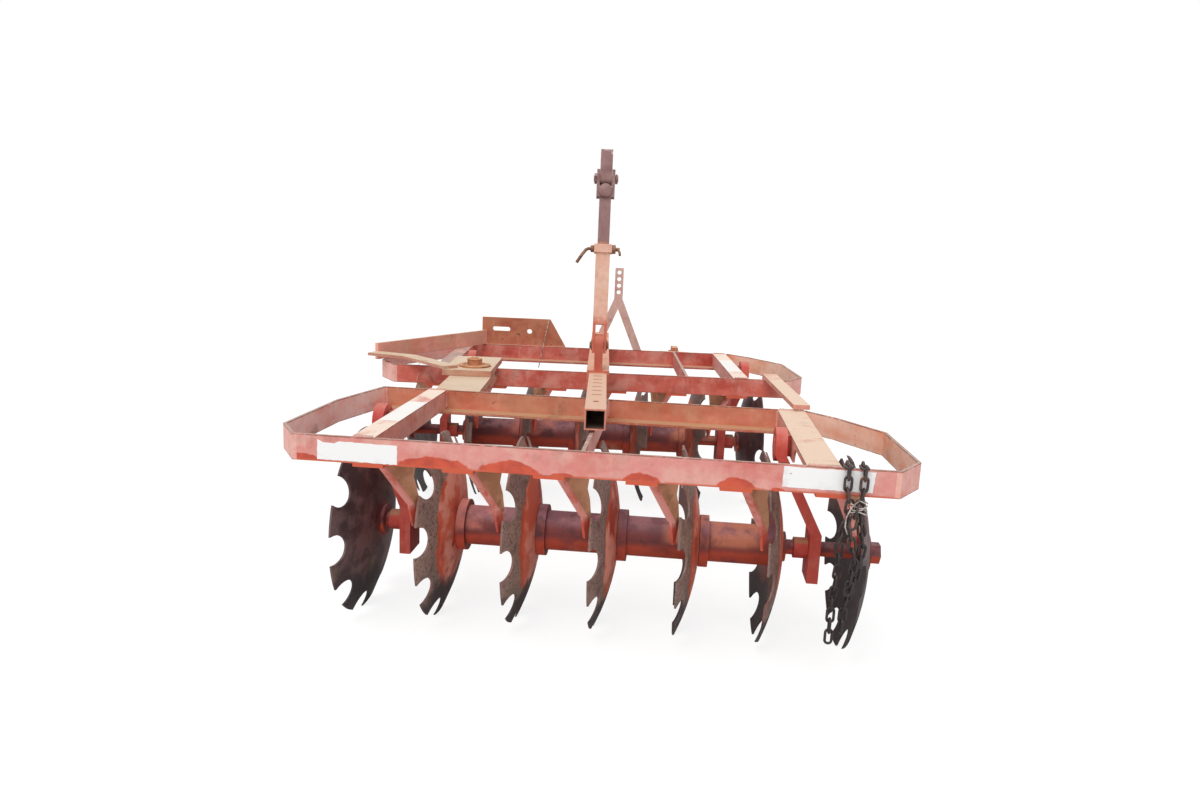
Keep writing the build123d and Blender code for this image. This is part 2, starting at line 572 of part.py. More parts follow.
# Mast, drawn upright about its pin, then leaned forward
LEAN = Pos(TUBE_X, lug_y, LUG_PIN_HEIGHT) * Rot(-MAST_LEAN, 0, 0)
fork = []
fork_in = LUG_THICK / 2 + HINGE_GAP
for way in (-1, 1):
    leg = block(way * fork_in, way * (fork_in + FORK_PLATE), -FORK_WIDTH / 2, FORK_WIDTH / 2, FORK_FOOT, FORK_TOP)
    fork.append(leg - rod(-MAST_SIDE, MAST_SIDE, 0, 0, MAST_PIN_RADIUS + MAST_FIT))
neck = block(-fork_in, fork_in, -FORK_WIDTH / 2, FORK_WIDTH / 2, FORK_CROTCH, FORK_TOP)
mast = block(-MAST_SIDE / 2, MAST_SIDE / 2, -MAST_SIDE / 2, MAST_SIDE / 2, FORK_TOP, MAST_TOP)
inside = MAST_SIDE / 2 - MAST_WALL
mast -= block(-inside, inside, -inside, inside, FORK_TOP - 1, MAST_TOP + 1)
collar = block(-COLLAR_SIDE / 2, COLLAR_SIDE / 2, -COLLAR_SIDE / 2, COLLAR_SIDE / 2, MAST_TOP - COLLAR_HEIGHT, MAST_TOP)
collar -= block(-MAST_SIDE / 2, MAST_SIDE / 2, -MAST_SIDE / 2, MAST_SIDE / 2, 0, MAST_TOP + 1)
add("mast_tube", fork[0] + fork[1] + neck + mast + collar, LEAN)
add("mast_pin", rod(-fork_in - FORK_PLATE - 8, fork_in + FORK_PLATE + 8, 0, 0, MAST_PIN_RADIUS), LEAN)

half_bar = BAR_SIDE / 2
bar = block(-half_bar, half_bar, -half_bar, half_bar, BAR_FOOT, BAR_TOP)
clevis_in = BLOCK_WIDTH / 2 + HINGE_GAP
clevis = block(-clevis_in - CLEVIS_PLATE, clevis_in + CLEVIS_PLATE, -CLEVIS_WIDTH / 2, CLEVIS_WIDTH / 2,
               BAR_TOP, CLEVIS_TOP)
clevis -= block(-clevis_in, clevis_in, -CLEVIS_WIDTH, CLEVIS_WIDTH, BAR_TOP + 10, CLEVIS_TOP + 1)
clevis -= rod(-CLEVIS_WIDTH, CLEVIS_WIDTH, 0, CLEVIS_PIN_AT, CLEVIS_PIN_RADIUS)
add("mast_bar", bar + clevis, LEAN)
add("clevis_pin", rod(-clevis_in - CLEVIS_PLATE - 10, clevis_in + CLEVIS_PLATE + 10, 0, CLEVIS_PIN_AT,
                      CLEVIS_PIN_RADIUS), LEAN)
link = block(-BLOCK_WIDTH / 2, BLOCK_WIDTH / 2, -BLOCK_DEPTH / 2, BLOCK_DEPTH / 2, CLEVIS_PIN_AT, BLOCK_TOP)
link += rod(-BLOCK_WIDTH / 2, BLOCK_WIDTH / 2, 0, CLEVIS_PIN_AT, BLOCK_DEPTH / 2)
link -= rod(-BLOCK_WIDTH, BLOCK_WIDTH, 0, CLEVIS_PIN_AT, CLEVIS_PIN_RADIUS + HINGE_BOLT_FIT)
link -= rod(-BLOCK_WIDTH, BLOCK_WIDTH, 0, BLOCK_TOP - LINK_PIN_FROM_TOP, LINK_PIN_RADIUS)
add("link_block", link, LEAN)

# Perforated stand on the front beam
stand_y = front_y - BEAM_THICK
legs = []
for way in (-1, 1):
    foot_x = STAND_X + way * STAND_LEG_SPREAD
    w = STAND_WIDTH / 2
    outline = [(foot_x - w, FRAME_TOP), (foot_x + w, FRAME_TOP),
               (STAND_X + w, STAND_FOOT + STAND_WIDTH), (STAND_X - w, STAND_FOOT + STAND_WIDTH)]
    legs.append(upright_plate(outline, stand_y, stand_y + STAND_THICK))
post = block(STAND_X - STAND_WIDTH / 2, STAND_X + STAND_WIDTH / 2, stand_y, stand_y + STAND_THICK,
             STAND_FOOT, STAND_TOP)
for i in range(STAND_HOLES):
    z = STAND_TOP - (i + 0.7) * STAND_HOLE_PITCH
    post -= Pos(STAND_X, stand_y, z) * Rot(90, 0, 0) * Cylinder(STAND_HOLE_RADIUS, 4 * STAND_THICK)
stand = legs[0] + legs[1] + post
stand -= block(TUBE_X - sleeve_half - STAND_WIDTH, TUBE_X + sleeve_half, stand_y - 1, stand_y + STAND_THICK + 1,
               FRAME_TOP - 1, sleeve_top)
add("mast_stand", stand)

# Support arm
run = Vector(*SUPPORT_REAR) - Vector(*SUPPORT_FRONT)
turn = math.degrees(math.atan2(run.Y, run.X))
arm = block(0, run.length, -SUPPORT_WIDTH / 2, SUPPORT_WIDTH / 2, SUPPORT_CLEARANCE, SUPPORT_CLEARANCE + SUPPORT_THICK)
seat = block(0, 45, -SUPPORT_WIDTH / 2, SUPPORT_WIDTH / 2, 0, SUPPORT_CLEARANCE)
add("support_arm", Pos(*SUPPORT_FRONT, FRAME_TOP) * Rot(0, 0, turn) * (arm + seat))

# Chain: over the beam in two loops joined behind by a shackle, then hanging in front
def ring_outline(half_length, half_width, bevel):
    """Eight corners of a ring that is long in Z, in order round it."""
    short_x, short_z = half_width - bevel, half_length - bevel
    right = [(short_x, -half_length), (half_width, -short_z), (half_width, short_z), (short_x, half_length)]
    return right + [(-x, -z) for x, z in right]


def chain_link(half_length=LINK_HALF):
    """One link, long in Z and flat in Y."""
    inner = ring_outline(half_length - LINK_WIRE, LINK_SIDE - LINK_WIRE, LINK_BEVEL / 2)
    link = upright_plate(ring_outline(half_length, LINK_SIDE, LINK_BEVEL), -LINK_WIRE / 2, LINK_WIRE / 2)
    return link - upright_plate(inner, -LINK_WIRE, LINK_WIRE)


def hung_links(points, pitch):
    """Links at an equal pitch along a run of straight stretches, each a quarter turn on."""
    links = []
    ahead = 0
    for start, end in zip(points, points[1:]):
        way = (end - start).normalized()
        while ahead <= (end - start).length:
            flat = (1, 0, 0) if len(links) % 2 else (0, 1, 0)
            links.append(Plane(origin=start + way * ahead, x_dir=flat, z_dir=way).location * chain_link())
            ahead += pitch
        ahead -= (end - start).length
    return links


link_inside = LINK_HALF - LINK_WIRE
link_pitch = 2 * link_inside - LINK_PLAY
over_y = BEAM_THICK / 2
strand_y = over_y - link_inside - LINK_WIRE / 2
behind_y = 2 * over_y - strand_y
strand_z = FRAME_TOP + LINK_WIRE + LINK_PLAY - link_inside
links = []
for x in CHAIN_LOOPS:
    links.append(Pos(x, over_y, FRAME_TOP + LINK_WIRE / 2) * Rot(90, 0, 0) * chain_link())
    links.append(Pos(x, behind_y, strand_z) * Rot(0, 0, 90) * chain_link())
shackle_z = strand_z - LINK_HALF + LINK_WIRE / 2
links.append(Pos(sum(CHAIN_LOOPS) / 2, behind_y, shackle_z) * Rot(0, 90, 0) * chain_link(SHACKLE_HALF))
for run in CHAIN_RUNS:
    points = [Vector(x, -out, FRAME_TOP - drop) for x, out, drop in run]
    if run[0][0] in CHAIN_LOOPS:
        points.insert(0, Vector(run[0][0], strand_y, strand_z))
    links += hung_links(points, link_pitch)
add("chain", links, PLACE_REAR)

# Move the whole so that the middle of its footprint is at X = 0, Y = 0
boxes = [solid.bounding_box() for solids in nodes.values() for solid in solids]
middle_x = (min(b.min.X for b in boxes) + max(b.max.X for b in boxes)) / 2
middle_y = (min(b.min.Y for b in boxes) + max(b.max.Y for b in boxes)) / 2
low_z = min(b.min.Z for b in boxes)
move = Pos(-middle_x, -middle_y, -low_z)
print("moved by", round(-middle_x, 3), round(-middle_y, 3), round(-low_z, 3))
for name, solids in nodes.items():
    moved = [move * solid for solid in solids]
    export_step(Compound(children=moved) if len(moved) > 1 else moved[0], f"parts/{name}.step")
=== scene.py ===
import json
import math
import random

import bmesh
import bpy
import numpy as np
from mathutils import Matrix, Vector


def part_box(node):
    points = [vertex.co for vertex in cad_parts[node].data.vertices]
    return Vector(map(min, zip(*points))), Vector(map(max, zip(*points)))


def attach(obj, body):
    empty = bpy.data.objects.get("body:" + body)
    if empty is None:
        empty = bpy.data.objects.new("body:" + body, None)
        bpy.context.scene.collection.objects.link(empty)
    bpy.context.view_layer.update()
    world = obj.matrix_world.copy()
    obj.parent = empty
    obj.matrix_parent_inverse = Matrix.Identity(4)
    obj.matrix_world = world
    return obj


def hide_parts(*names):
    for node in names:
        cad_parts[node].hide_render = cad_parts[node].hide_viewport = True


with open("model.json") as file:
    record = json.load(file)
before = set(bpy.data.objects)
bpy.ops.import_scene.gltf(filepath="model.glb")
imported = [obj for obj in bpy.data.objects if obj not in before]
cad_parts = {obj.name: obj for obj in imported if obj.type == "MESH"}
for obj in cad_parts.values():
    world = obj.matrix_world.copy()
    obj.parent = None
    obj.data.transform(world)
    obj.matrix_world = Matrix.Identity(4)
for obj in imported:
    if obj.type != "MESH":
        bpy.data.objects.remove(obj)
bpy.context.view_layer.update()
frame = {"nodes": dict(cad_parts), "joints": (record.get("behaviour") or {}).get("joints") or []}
nodes = frame["nodes"]
joints = {joint["name"]: joint for joint in frame["joints"]}

# The camera stands behind the harrow at a person's chest height, looking forward and a
# little down, and leans a little to one side, as a hand-held camera does.
# It is placed from the hinge bolt, the point that both frames are set out from.
hinge = Vector(joints["gang_angle"]["pos_m"])
CAMERA_FROM_HINGE = (0.4454, -3.128)
CAMERA_HEIGHT = 1.073
PITCH = math.radians(10.75)
ROLL = math.radians(2.43)
LENS, SENSOR_WIDTH = 26.99, 36

ahead = Vector((0, math.cos(PITCH), -math.sin(PITCH)))
level_up = Vector((0, math.sin(PITCH), math.cos(PITCH)))
level_right = Vector((1, 0, 0))
right = math.cos(ROLL) * level_right + math.sin(ROLL) * level_up
up = math.cos(ROLL) * level_up - math.sin(ROLL) * level_right
lens = bpy.data.cameras.new("camera")
lens.lens = LENS
lens.sensor_width = SENSOR_WIDTH
camera = bpy.data.objects.new("camera", lens)
stand = Matrix((right, up, -ahead)).transposed().to_4x4()
stand.translation = (hinge.x + CAMERA_FROM_HINGE[0], hinge.y + CAMERA_FROM_HINGE[1], CAMERA_HEIGHT)
camera.matrix_world = stand
scene = bpy.context.scene
scene.collection.objects.link(camera)
scene.camera = camera
scene.view_settings.view_transform = "Standard"


# The floor is a pale sheet that keeps the harrow's shadow. The camera sees it and the
# sky behind it as white, while the light on the harrow stays at a plain level.
WHITE = (1, 1, 1, 1)
SKY_LIGHT, SKY_SEEN = 0.63, 1
FLOOR_HALF, FLOOR_HEIGHT = 60, -0.001
FLOOR_GREY = (0.72, 0.71, 0.70, 1)
FLOOR_GLOW, GLOW_SHARE = 1.24, 0.68
# Columns: name, strength, and the tilt, turn and spread in degrees
LAMPS = (("high_sun", 1.38, 34, -30, 40), ("low_fill", 0.22, 68, 10, 90))

world = bpy.data.worlds.new("sky")
scene.world = world
world.use_nodes = True
sky = world.node_tree
sky.nodes.clear()
rays = sky.nodes.new("ShaderNodeLightPath")
seen = None
for ray in ("Is Camera Ray", "Is Glossy Ray", "Is Transmission Ray"):
    either = sky.nodes.new("ShaderNodeMath")
    either.operation = "MAXIMUM"
    either.inputs[1].default_value = 0
    sky.links.new(rays.outputs[ray], either.inputs[0])
    if seen:
        sky.links.new(seen, either.inputs[1])
    seen = either.outputs[0]
strength = sky.nodes.new("ShaderNodeMix")
strength.data_type = "FLOAT"
strength.inputs["A"].default_value = SKY_LIGHT
strength.inputs["B"].default_value = SKY_SEEN
sky.links.new(seen, strength.inputs["Factor"])
glow = sky.nodes.new("ShaderNodeBackground")
glow.inputs["Color"].default_value = WHITE
sky.links.new(strength.outputs["Result"], glow.inputs["Strength"])
sky.links.new(glow.outputs[0], sky.nodes.new("ShaderNodeOutputWorld").inputs["Surface"])

pale_floor = bpy.data.materials.new("pale_floor")
pale_floor.use_nodes = True
tree = pale_floor.node_tree
tree.nodes.clear()
matt = tree.nodes.new("ShaderNodeBsdfDiffuse")
matt.inputs["Color"].default_value = FLOOR_GREY
shine = tree.nodes.new("ShaderNodeEmission")
shine.inputs["Color"].default_value = WHITE
shine.inputs["Strength"].default_value = FLOOR_GLOW
rays = tree.nodes.new("ShaderNodeLightPath")
share = tree.nodes.new("ShaderNodeMath")
share.operation = "MULTIPLY"
share.inputs[1].default_value = GLOW_SHARE
both = tree.nodes.new("ShaderNodeMixShader")
tree.links.new(rays.outputs["Is Camera Ray"], share.inputs[0])
tree.links.new(share.outputs[0], both.inputs["Fac"])
tree.links.new(matt.outputs[0], both.inputs[1])
tree.links.new(shine.outputs[0], both.inputs[2])
tree.links.new(both.outputs[0], tree.nodes.new("ShaderNodeOutputMaterial").inputs["Surface"])

floor_mesh = bpy.data.meshes.new("floor")
square = ((-1, -1), (1, -1), (1, 1), (-1, 1))
corners = [(x * FLOOR_HALF, y * FLOOR_HALF, FLOOR_HEIGHT) for x, y in square]
floor_mesh.from_pydata(corners, [], [(0, 1, 2, 3)])
floor_mesh.materials.append(pale_floor)
floor = bpy.data.objects.new("floor", floor_mesh)
scene.collection.objects.link(floor)

for name, power, tilt, turn, spread in LAMPS:
    sun = bpy.data.lights.new(name, "SUN")
    sun.energy = power
    sun.angle = math.radians(spread)
    lamp = bpy.data.objects.new(name, sun)
    lamp.rotation_euler = (math.radians(tilt), 0, math.radians(turn))
    scene.collection.objects.link(lamp)


# Beams: across each frame run two flat steel bars on edge, sawn to length, with a thin bar
# between the cross bars. Their red paint is old: dusty and chalky on top, redder where it
# is sheltered, with rust where it has come off.
REAR_AXLE = joints["rear_gang_spin"]["axis"]
OPEN = math.atan2(-REAR_AXLE[1], REAR_AXLE[0])
FRONT_FROM_HINGE = (0.411, 0.090)
REAR_FROM_HINGE = (0.515, -1.050)
FRAME_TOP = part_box("rear_rear_beam")[1].z
BEAM_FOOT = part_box("rear_rear_beam")[0].z
SHELF_HEIGHT = (0.552, 0.545)


def colour(r, g, b):
    """A colour as it is seen on a screen, 0 to 255, made ready for a shader."""
    shares = [value / 255 for value in (r, g, b)]
    return tuple(v / 12.92 if v < 0.04045 else ((v + 0.055) / 1.055) ** 2.4 for v in shares) + (1,)


RUST = colour(122, 66, 44)
DUST = colour(190, 144, 108)
GRIME = colour(112, 74, 62)
FADED = colour(240, 180, 170)
DEEP = colour(216, 116, 98)
CHALK = colour(248, 226, 208)


def add_node(tree, kind, inputs, settings):
    """A node with its settings, and each input linked to a socket or set to a value."""
    node = tree.nodes.new(kind)
    for key, value in settings.items():
        setattr(node, key, value)
    for key, value in inputs.items():
        if isinstance(value, bpy.types.NodeSocket):
            tree.links.new(value, node.inputs[key])
        else:
            node.inputs[key].default_value = value
    return node


class Finish:
    """A material built up in layers, from the ground coat to the dirt on top."""

    def __init__(self, name, roughness=0.62):
        self.material = bpy.data.materials.new(name)
        self.material.use_nodes = True
        self.tree = self.material.node_tree
        self.shader = self.tree.nodes["Principled BSDF"]
        self.shader.inputs["Roughness"].default_value = roughness
        self.where = self.add("ShaderNodeTexCoord").outputs["Object"]
        self.normal = self.add("ShaderNodeNewGeometry").outputs["Normal"]
        self.upward = self.part(self.normal, 2)
        self.height = self.part(self.where, 2)

    def add(self, kind, inputs=None, **settings):
        return add_node(self.tree, kind, inputs or {}, settings)

    def part(self, vector, axis):
        return self.add("ShaderNodeSeparateXYZ", {0: vector}).outputs[axis]

    def length(self, vector):
        return self.add("ShaderNodeVectorMath", {0: vector}, operation="LENGTH").outputs["Value"]

    def sums(self, operation, *values):
        total = values[0]
        for value in values[1:]:
            total = self.add("ShaderNodeMath", {0: total, 1: value}, operation=operation).outputs[0]
        return total

    def times(self, *values):
        return self.sums("MULTIPLY", *values)

    def most(self, *values):
        return self.sums("MAXIMUM", *values)

    def ramp(self, value, low, high, out_low=0.0, out_high=1.0):
        """A smooth step from low to high, or down where low is the larger one."""
        limits = {"Value": value, "From Min": low, "From Max": high,
                  "To Min": out_low, "To Max": out_high}
        step = self.add("ShaderNodeMapRange", limits, interpolation_type="SMOOTHSTEP")
        return step.outputs["Result"]

    def between(self, value, low, high, soft):
        rise = self.ramp(value, low - soft, low + soft)
        return self.times(rise, self.ramp(value, high + soft, high - soft))

    def on_top(self):
        """One on the faces that look up."""
        return self.ramp(self.upward, 0.5, 0.9)

    def moved(self, offset=(0, 0, 0), turn=0, stretch=(1, 1, 1), where=None):
        places = {"Vector": where or self.where, "Location": offset,
                  "Rotation": (0, 0, turn), "Scale": stretch}
        return self.add("ShaderNodeMapping", places).outputs[0]

    def in_rear_frame(self):
        """Places from the rear frame's middle and its rear beam, along its own bars."""
        zero = Matrix.Rotation(OPEN, 2) @ hinge.xy
        return self.moved((-zero.x - REAR_FROM_HINGE[0], -zero.y - REAR_FROM_HINGE[1], 0), OPEN)

    def in_front_frame(self):
        return self.moved((-hinge.x - FRONT_FROM_HINGE[0], -hinge.y - FRONT_FROM_HINGE[1], 0))

    def patches(self, scale, low, high, detail=4.0, stretch=(1, 1, 1), offset=(0, 0, 0)):
        """Uneven patches; a narrow step from low to high gives them a sharp edge."""
        cloud = {"Vector": self.moved(offset, 0, stretch), "Scale": scale,
                 "Detail": detail, "Roughness": 0.62}
        return self.ramp(self.add("ShaderNodeTexNoise", cloud).outputs["Fac"], low, high)

    def layer(self, under, over, *shares):
        """One colour laid over another, as thick as the product of the shares."""
        colours = {0: self.times(*shares), 6: under, 7: over}
        return self.add("ShaderNodeMix", colours, data_type="RGBA").outputs[2]

    def done(self, skin, grain=150, relief=0.12, depth=0.0006):
        fine = self.add("ShaderNodeTexNoise", {"Vector": self.where, "Scale": grain, "Detail": 6.0})
        bumps = {"Height": fine.outputs["Fac"], "Strength": relief, "Distance": depth}
        bumps = self.add("ShaderNodeBump", bumps)
        self.tree.links.new(bumps.outputs[0], self.shader.inputs["Normal"])
        self.tree.links.new(skin, self.shader.inputs["Base Color"])
        return self.material


def paint_coat(paint, faded, deep, chalk, chalk_share=1.0, rust_share=0.4, dust_share=0.0):
    """The layers of old paint, before anything that only one piece has."""
    coat = paint.layer(faded, deep, paint.patches(4.5, 0.46, 0.70, stretch=(1, 1, 2.2)))
    coat = paint.layer(coat, deep, paint.ramp(paint.upward, -0.2, -0.8, 0, 0.8))
    coat = paint.layer(coat, deep, paint.patches(60, 0.35, 0.65, 8.0, offset=(8, 8, 2)), 0.32)
    coat = paint.layer(coat, GRIME, paint.patches(19, 0.52, 0.80, 8.0, offset=(2, 9, 9)), 0.34)
    coat = paint.layer(coat, chalk, paint.patches(14, 0.42, 0.66, 6.0, offset=(4, 2, 8)), 0.22)
    bleached = paint.times(paint.ramp(paint.upward, 0.55, 0.95),
                           paint.patches(9, 0.26, 0.46, offset=(3, 1, 0)))
    coat = paint.layer(coat, chalk, bleached, chalk_share)
    shelf = paint.times(paint.on_top(), paint.ramp(paint.height, *SHELF_HEIGHT))
    coat = paint.layer(coat, DUST, shelf, 0.85)
    if dust_share:
        dust = paint.patches(5, 0.38, 0.66, 6.0, offset=(6, 6, 6))
        coat = paint.layer(coat, DUST, dust, dust_share)
    streaks = paint.patches(26, 0.58, 0.76, stretch=(1, 1, 0.22), offset=(0, 5, 2))
    coat = paint.layer(coat, chalk, streaks, 0.30)
    edge = paint.most(paint.between(paint.height, FRAME_TOP - 0.003, FRAME_TOP + 0.001, 0.0008),
                      paint.between(paint.height, BEAM_FOOT - 0.001, BEAM_FOOT + 0.002, 0.0008))
    edge = paint.times(edge, paint.patches(40, 0.36, 0.50, offset=(1, 1, 5)),
                       paint.ramp(paint.upward, 0.5, 0.1))
    spots = paint.patches(52, 0.66, 0.70, 5.0, offset=(7, 0, 1))
    worn = paint.patches(7, 0.58, 0.76, 7.0, offset=(1, 9, 4))
    rusted = paint.most(paint.times(paint.most(spots, worn), rust_share), paint.times(edge, 0.7))
    return paint.layer(coat, RUST, rusted)


def dull_top(paint, coat):
    """The narrow top edges of the bars have lost their paint and are grey-brown."""
    edge = paint.ramp(paint.height, FRAME_TOP - 0.002, FRAME_TOP - 0.001)
    worn = paint.layer(colour(148, 112, 104), colour(206, 150, 136),
                       paint.patches(24, 0.50, 0.62, offset=(6, 3, 3)))
    return paint.layer(coat, worn, paint.times(paint.on_top(), edge), 0.75)


def old_paint(name, faded, deep, chalk=CHALK, narrow=False, **shares):
    paint = Finish(name)
    coat = paint_coat(paint, faded, deep, chalk, **shares)
    return paint.done(dull_top(paint, coat) if narrow else coat)


def give(material, *names):
    for name in names:
        for slot in nodes[name].material_slots:
            slot.material = material


frame_paint = old_paint("frame_paint", FADED, DEEP, narrow=True)
give(frame_paint, "rear_thin_bar")

# The front frame is painted redder and darker, with pale tops on its beams.
front_paint = old_paint("front_paint", colour(216, 108, 92), colour(188, 66, 50), narrow=True,
                        rust_share=0.5)
give(front_paint, "front_rear_beam", "front_thin_bar")
far_paint = old_paint("far_paint", colour(216, 116, 102), colour(180, 66, 54), rust_share=0.5)
give(far_paint, "front_front_beam")

# Dust lies on the rear frame's front beam and has turned it ochre.
ochre_paint = old_paint("ochre_paint", colour(222, 136, 112), colour(202, 100, 70),
                        colour(232, 200, 160), narrow=True,
                        chalk_share=0.7, rust_share=0.6, dust_share=0.40)
give(ochre_paint, "rear_front_beam")

# The rear frame's rear beam is the palest. Fresh red shows in half-round patches along its
# lower edge, where the soil thrown up by the discs has scoured it.
# Columns: middle along the beam, half length, height
SCOURED = [(-0.690, 0.050, 0.016), (-0.368, 0.090, 0.027), (-0.184, 0.076, 0.031),
           (-0.060, 0.030, 0.010), (0.124, 0.047, 0.022), (0.345, 0.047, 0.025),
           (0.442, 0.016, 0.009)]
SCOURED_EDGE = (BEAM_FOOT + 0.007, BEAM_FOOT + 0.002)
beam = Finish("rear_beam_paint")
coat = paint_coat(beam, colour(230, 156, 148), colour(218, 122, 112), CHALK, rust_share=0.25)
coat = dull_top(beam, coat)
along_beam = beam.in_rear_frame()
wobble = beam.add("ShaderNodeTexNoise", {"Vector": beam.where, "Scale": 28.0, "Detail": 3.0})
wobble = beam.ramp(wobble.outputs["Fac"], 0.3, 0.7, -0.12, 0.12)
fresh_red = beam.layer(colour(214, 84, 54), colour(190, 70, 46),
                       beam.patches(22, 0.44, 0.62, offset=(7, 7, 0)))
for middle, half, rise in SCOURED:
    start, zoom = (-middle / half, 0, -BEAM_FOOT / rise), (1 / half, 0, 1 / rise)
    reach = beam.sums("ADD", beam.length(beam.moved(start, 0, zoom, along_beam)), wobble)
    coat = beam.layer(coat, fresh_red, beam.ramp(reach, 1.06, 0.94), 0.94)
low_edge = beam.times(beam.ramp(beam.height, *SCOURED_EDGE),
                      beam.patches(10, 0.36, 0.5, offset=(2, 7, 1)))
coat = beam.layer(coat, colour(210, 98, 66), low_edge, 0.85)
give(beam.done(coat), "rear_rear_beam")


# Cross bars: two wide flat steel bars run from beam to beam in each frame. They are bleached
# on top, and a blank white patch of old marking paint is left on the rear frame's left one
# and on the front frame's right one.
REAR_PATCH = (0.20, 0.46)
FRONT_PATCH = (0.17, 0.47)


def cross_bar_paint(name, frame_places, start, end):
    paint = Finish(name)
    coat = paint_coat(paint, colour(228, 158, 146), colour(206, 112, 96), CHALK, rust_share=0.35)
    along = paint.part(frame_places(paint), 1)
    patch = paint.times(paint.between(along, start, end, 0.004), paint.on_top(),
                        paint.patches(30, 0.30, 0.38, offset=(5, 5, 0)))
    return paint.done(paint.layer(coat, colour(250, 248, 244), patch, 0.92))


rear_bar_paint = cross_bar_paint("rear_bar_paint", Finish.in_rear_frame, *REAR_PATCH)
front_bar_paint = cross_bar_paint("front_bar_paint", Finish.in_front_frame, *FRONT_PATCH)
bleached_paint = old_paint("bleached_paint", colour(224, 156, 138), colour(196, 108, 86),
                           colour(236, 206, 182), rust_share=0.5)
give(rear_bar_paint, "rear_left_cross_bar")
give(front_bar_paint, "front_right_cross_bar")
give(front_paint, "front_left_cross_bar")
give(bleached_paint, "rear_right_cross_bar")


# Hoops: flat bar, bent round each end of a frame and welded to its beams. Outside they are
# as pink as the beams. Inside they are painted paler, as painted light for the sun they
# catch: a pale orange at the right, and a dusty pink at the left.
def hoop_paint(name, way, inner, lit_inner_deep):
    paint = Finish(name)
    # The inner faces get a paler coat than the outer ones: painted light for the sun.
    lit_inside = paint.ramp(paint.times(paint.part(paint.normal, 0), way), -0.05, -0.15)
    outer_coat = paint_coat(paint, FADED, DEEP, CHALK)
    lit_inner_coat = paint_coat(paint, inner, lit_inner_deep, CHALK)
    return paint.done(dull_top(paint, paint.layer(outer_coat, lit_inner_coat, lit_inside)))


right_hoop_paint = hoop_paint("right_hoop_paint", 1.0, colour(255, 214, 192), colour(246, 166, 130))
left_hoop_paint = hoop_paint("left_hoop_paint", -1.0, colour(255, 214, 206), colour(244, 164, 150))
give(right_hoop_paint, "rear_right_hoop", "front_right_hoop")
give(left_hoop_paint, "rear_left_hoop", "front_left_hoop")


# Welds: the frames are joined by hand. A bead is a ripple of steel along the corner where
# two bars meet, and is painted with them. Each frame's beads are grown along short lines.
FRAME_DEPTH, BEAM_HALF, BEAM_THICK = 0.675, 0.705, 0.008
THIN_HALF = 0.005
BEAD, BEAD_INSET = 0.0038, 0.004
RIPPLE_LENGTH, RIPPLE_RISE = 0.0042, 0.28
BAR_LIFT, CORNER_LIFT = 0.014, 0.012


def front(x, y, z):
    """A place in the front frame, from its middle, its rear beam and the ground."""
    return Vector((hinge.x + FRONT_FROM_HINGE[0] + x, hinge.y + FRONT_FROM_HINGE[1] + y, z))


def rear(x, y, z):
    """The same in the rear frame, which is turned a little about the hinge."""
    turned = Matrix.Rotation(-OPEN, 2) @ Vector((REAR_FROM_HINGE[0] + x, REAR_FROM_HINGE[1] + y))
    return Vector((hinge.x + turned.x, hinge.y + turned.y, z))


class Tree:
    """A Geometry Nodes tree with named inputs for its sizes."""

    def __init__(self, name, sizes):
        self.group = bpy.data.node_groups.new(name, "GeometryNodeTree")
        new_socket = self.group.interface.new_socket
        new_socket("Geometry", in_out="INPUT", socket_type="NodeSocketGeometry")
        for key, value in sizes.items():
            kind = "NodeSocketInt" if isinstance(value, int) else "NodeSocketFloat"
            new_socket(key, in_out="INPUT", socket_type=kind)
        new_socket("Geometry", in_out="OUTPUT", socket_type="NodeSocketGeometry")
        self.sizes = sizes
        self.given = self.group.nodes.new("NodeGroupInput").outputs

    def add(self, kind, inputs=None, out=0, **settings):
        return add_node(self.group, kind, inputs or {}, settings).outputs[out]

    def math(self, operation, a, b):
        return self.add("ShaderNodeMath", {0: a, 1: b}, operation=operation)

    def grow(self, name, geometry, material, points, edges, columns, body, slot):
        """Ends the tree and makes its plain mesh from points and edges."""
        real = self.add("GeometryNodeRealizeInstances", {0: geometry})
        coated = self.add("GeometryNodeSetMaterial", {"Geometry": real, "Material": material})
        self.group.links.new(coated, self.group.nodes.new("NodeGroupOutput").inputs[0])
        start = bpy.data.meshes.new(name)
        start.from_pydata([tuple(point) for point in points], edges, [])
        for key, column in columns.items():
            values = start.attributes.new(key, "FLOAT_VECTOR", "POINT")
            for item, value in zip(values.data, column):
                item.vector = tuple(value)
        thing = bpy.data.objects.new(name, start)
        scene.collection.objects.link(thing)
        modifier = thing.modifiers.new("grow", "NODES")
        modifier.node_group = self.group
        for item in self.group.interface.items_tree:
            if item.in_out == "INPUT" and item.name in self.sizes:
                modifier[item.identifier] = self.sizes[item.name]
        grown = thing.evaluated_get(bpy.context.evaluated_depsgraph_get())
        mesh = bpy.data.meshes.new_from_object(grown)
        thing.modifiers.clear()
        thing.data = mesh
        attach(thing, body)
        return thing


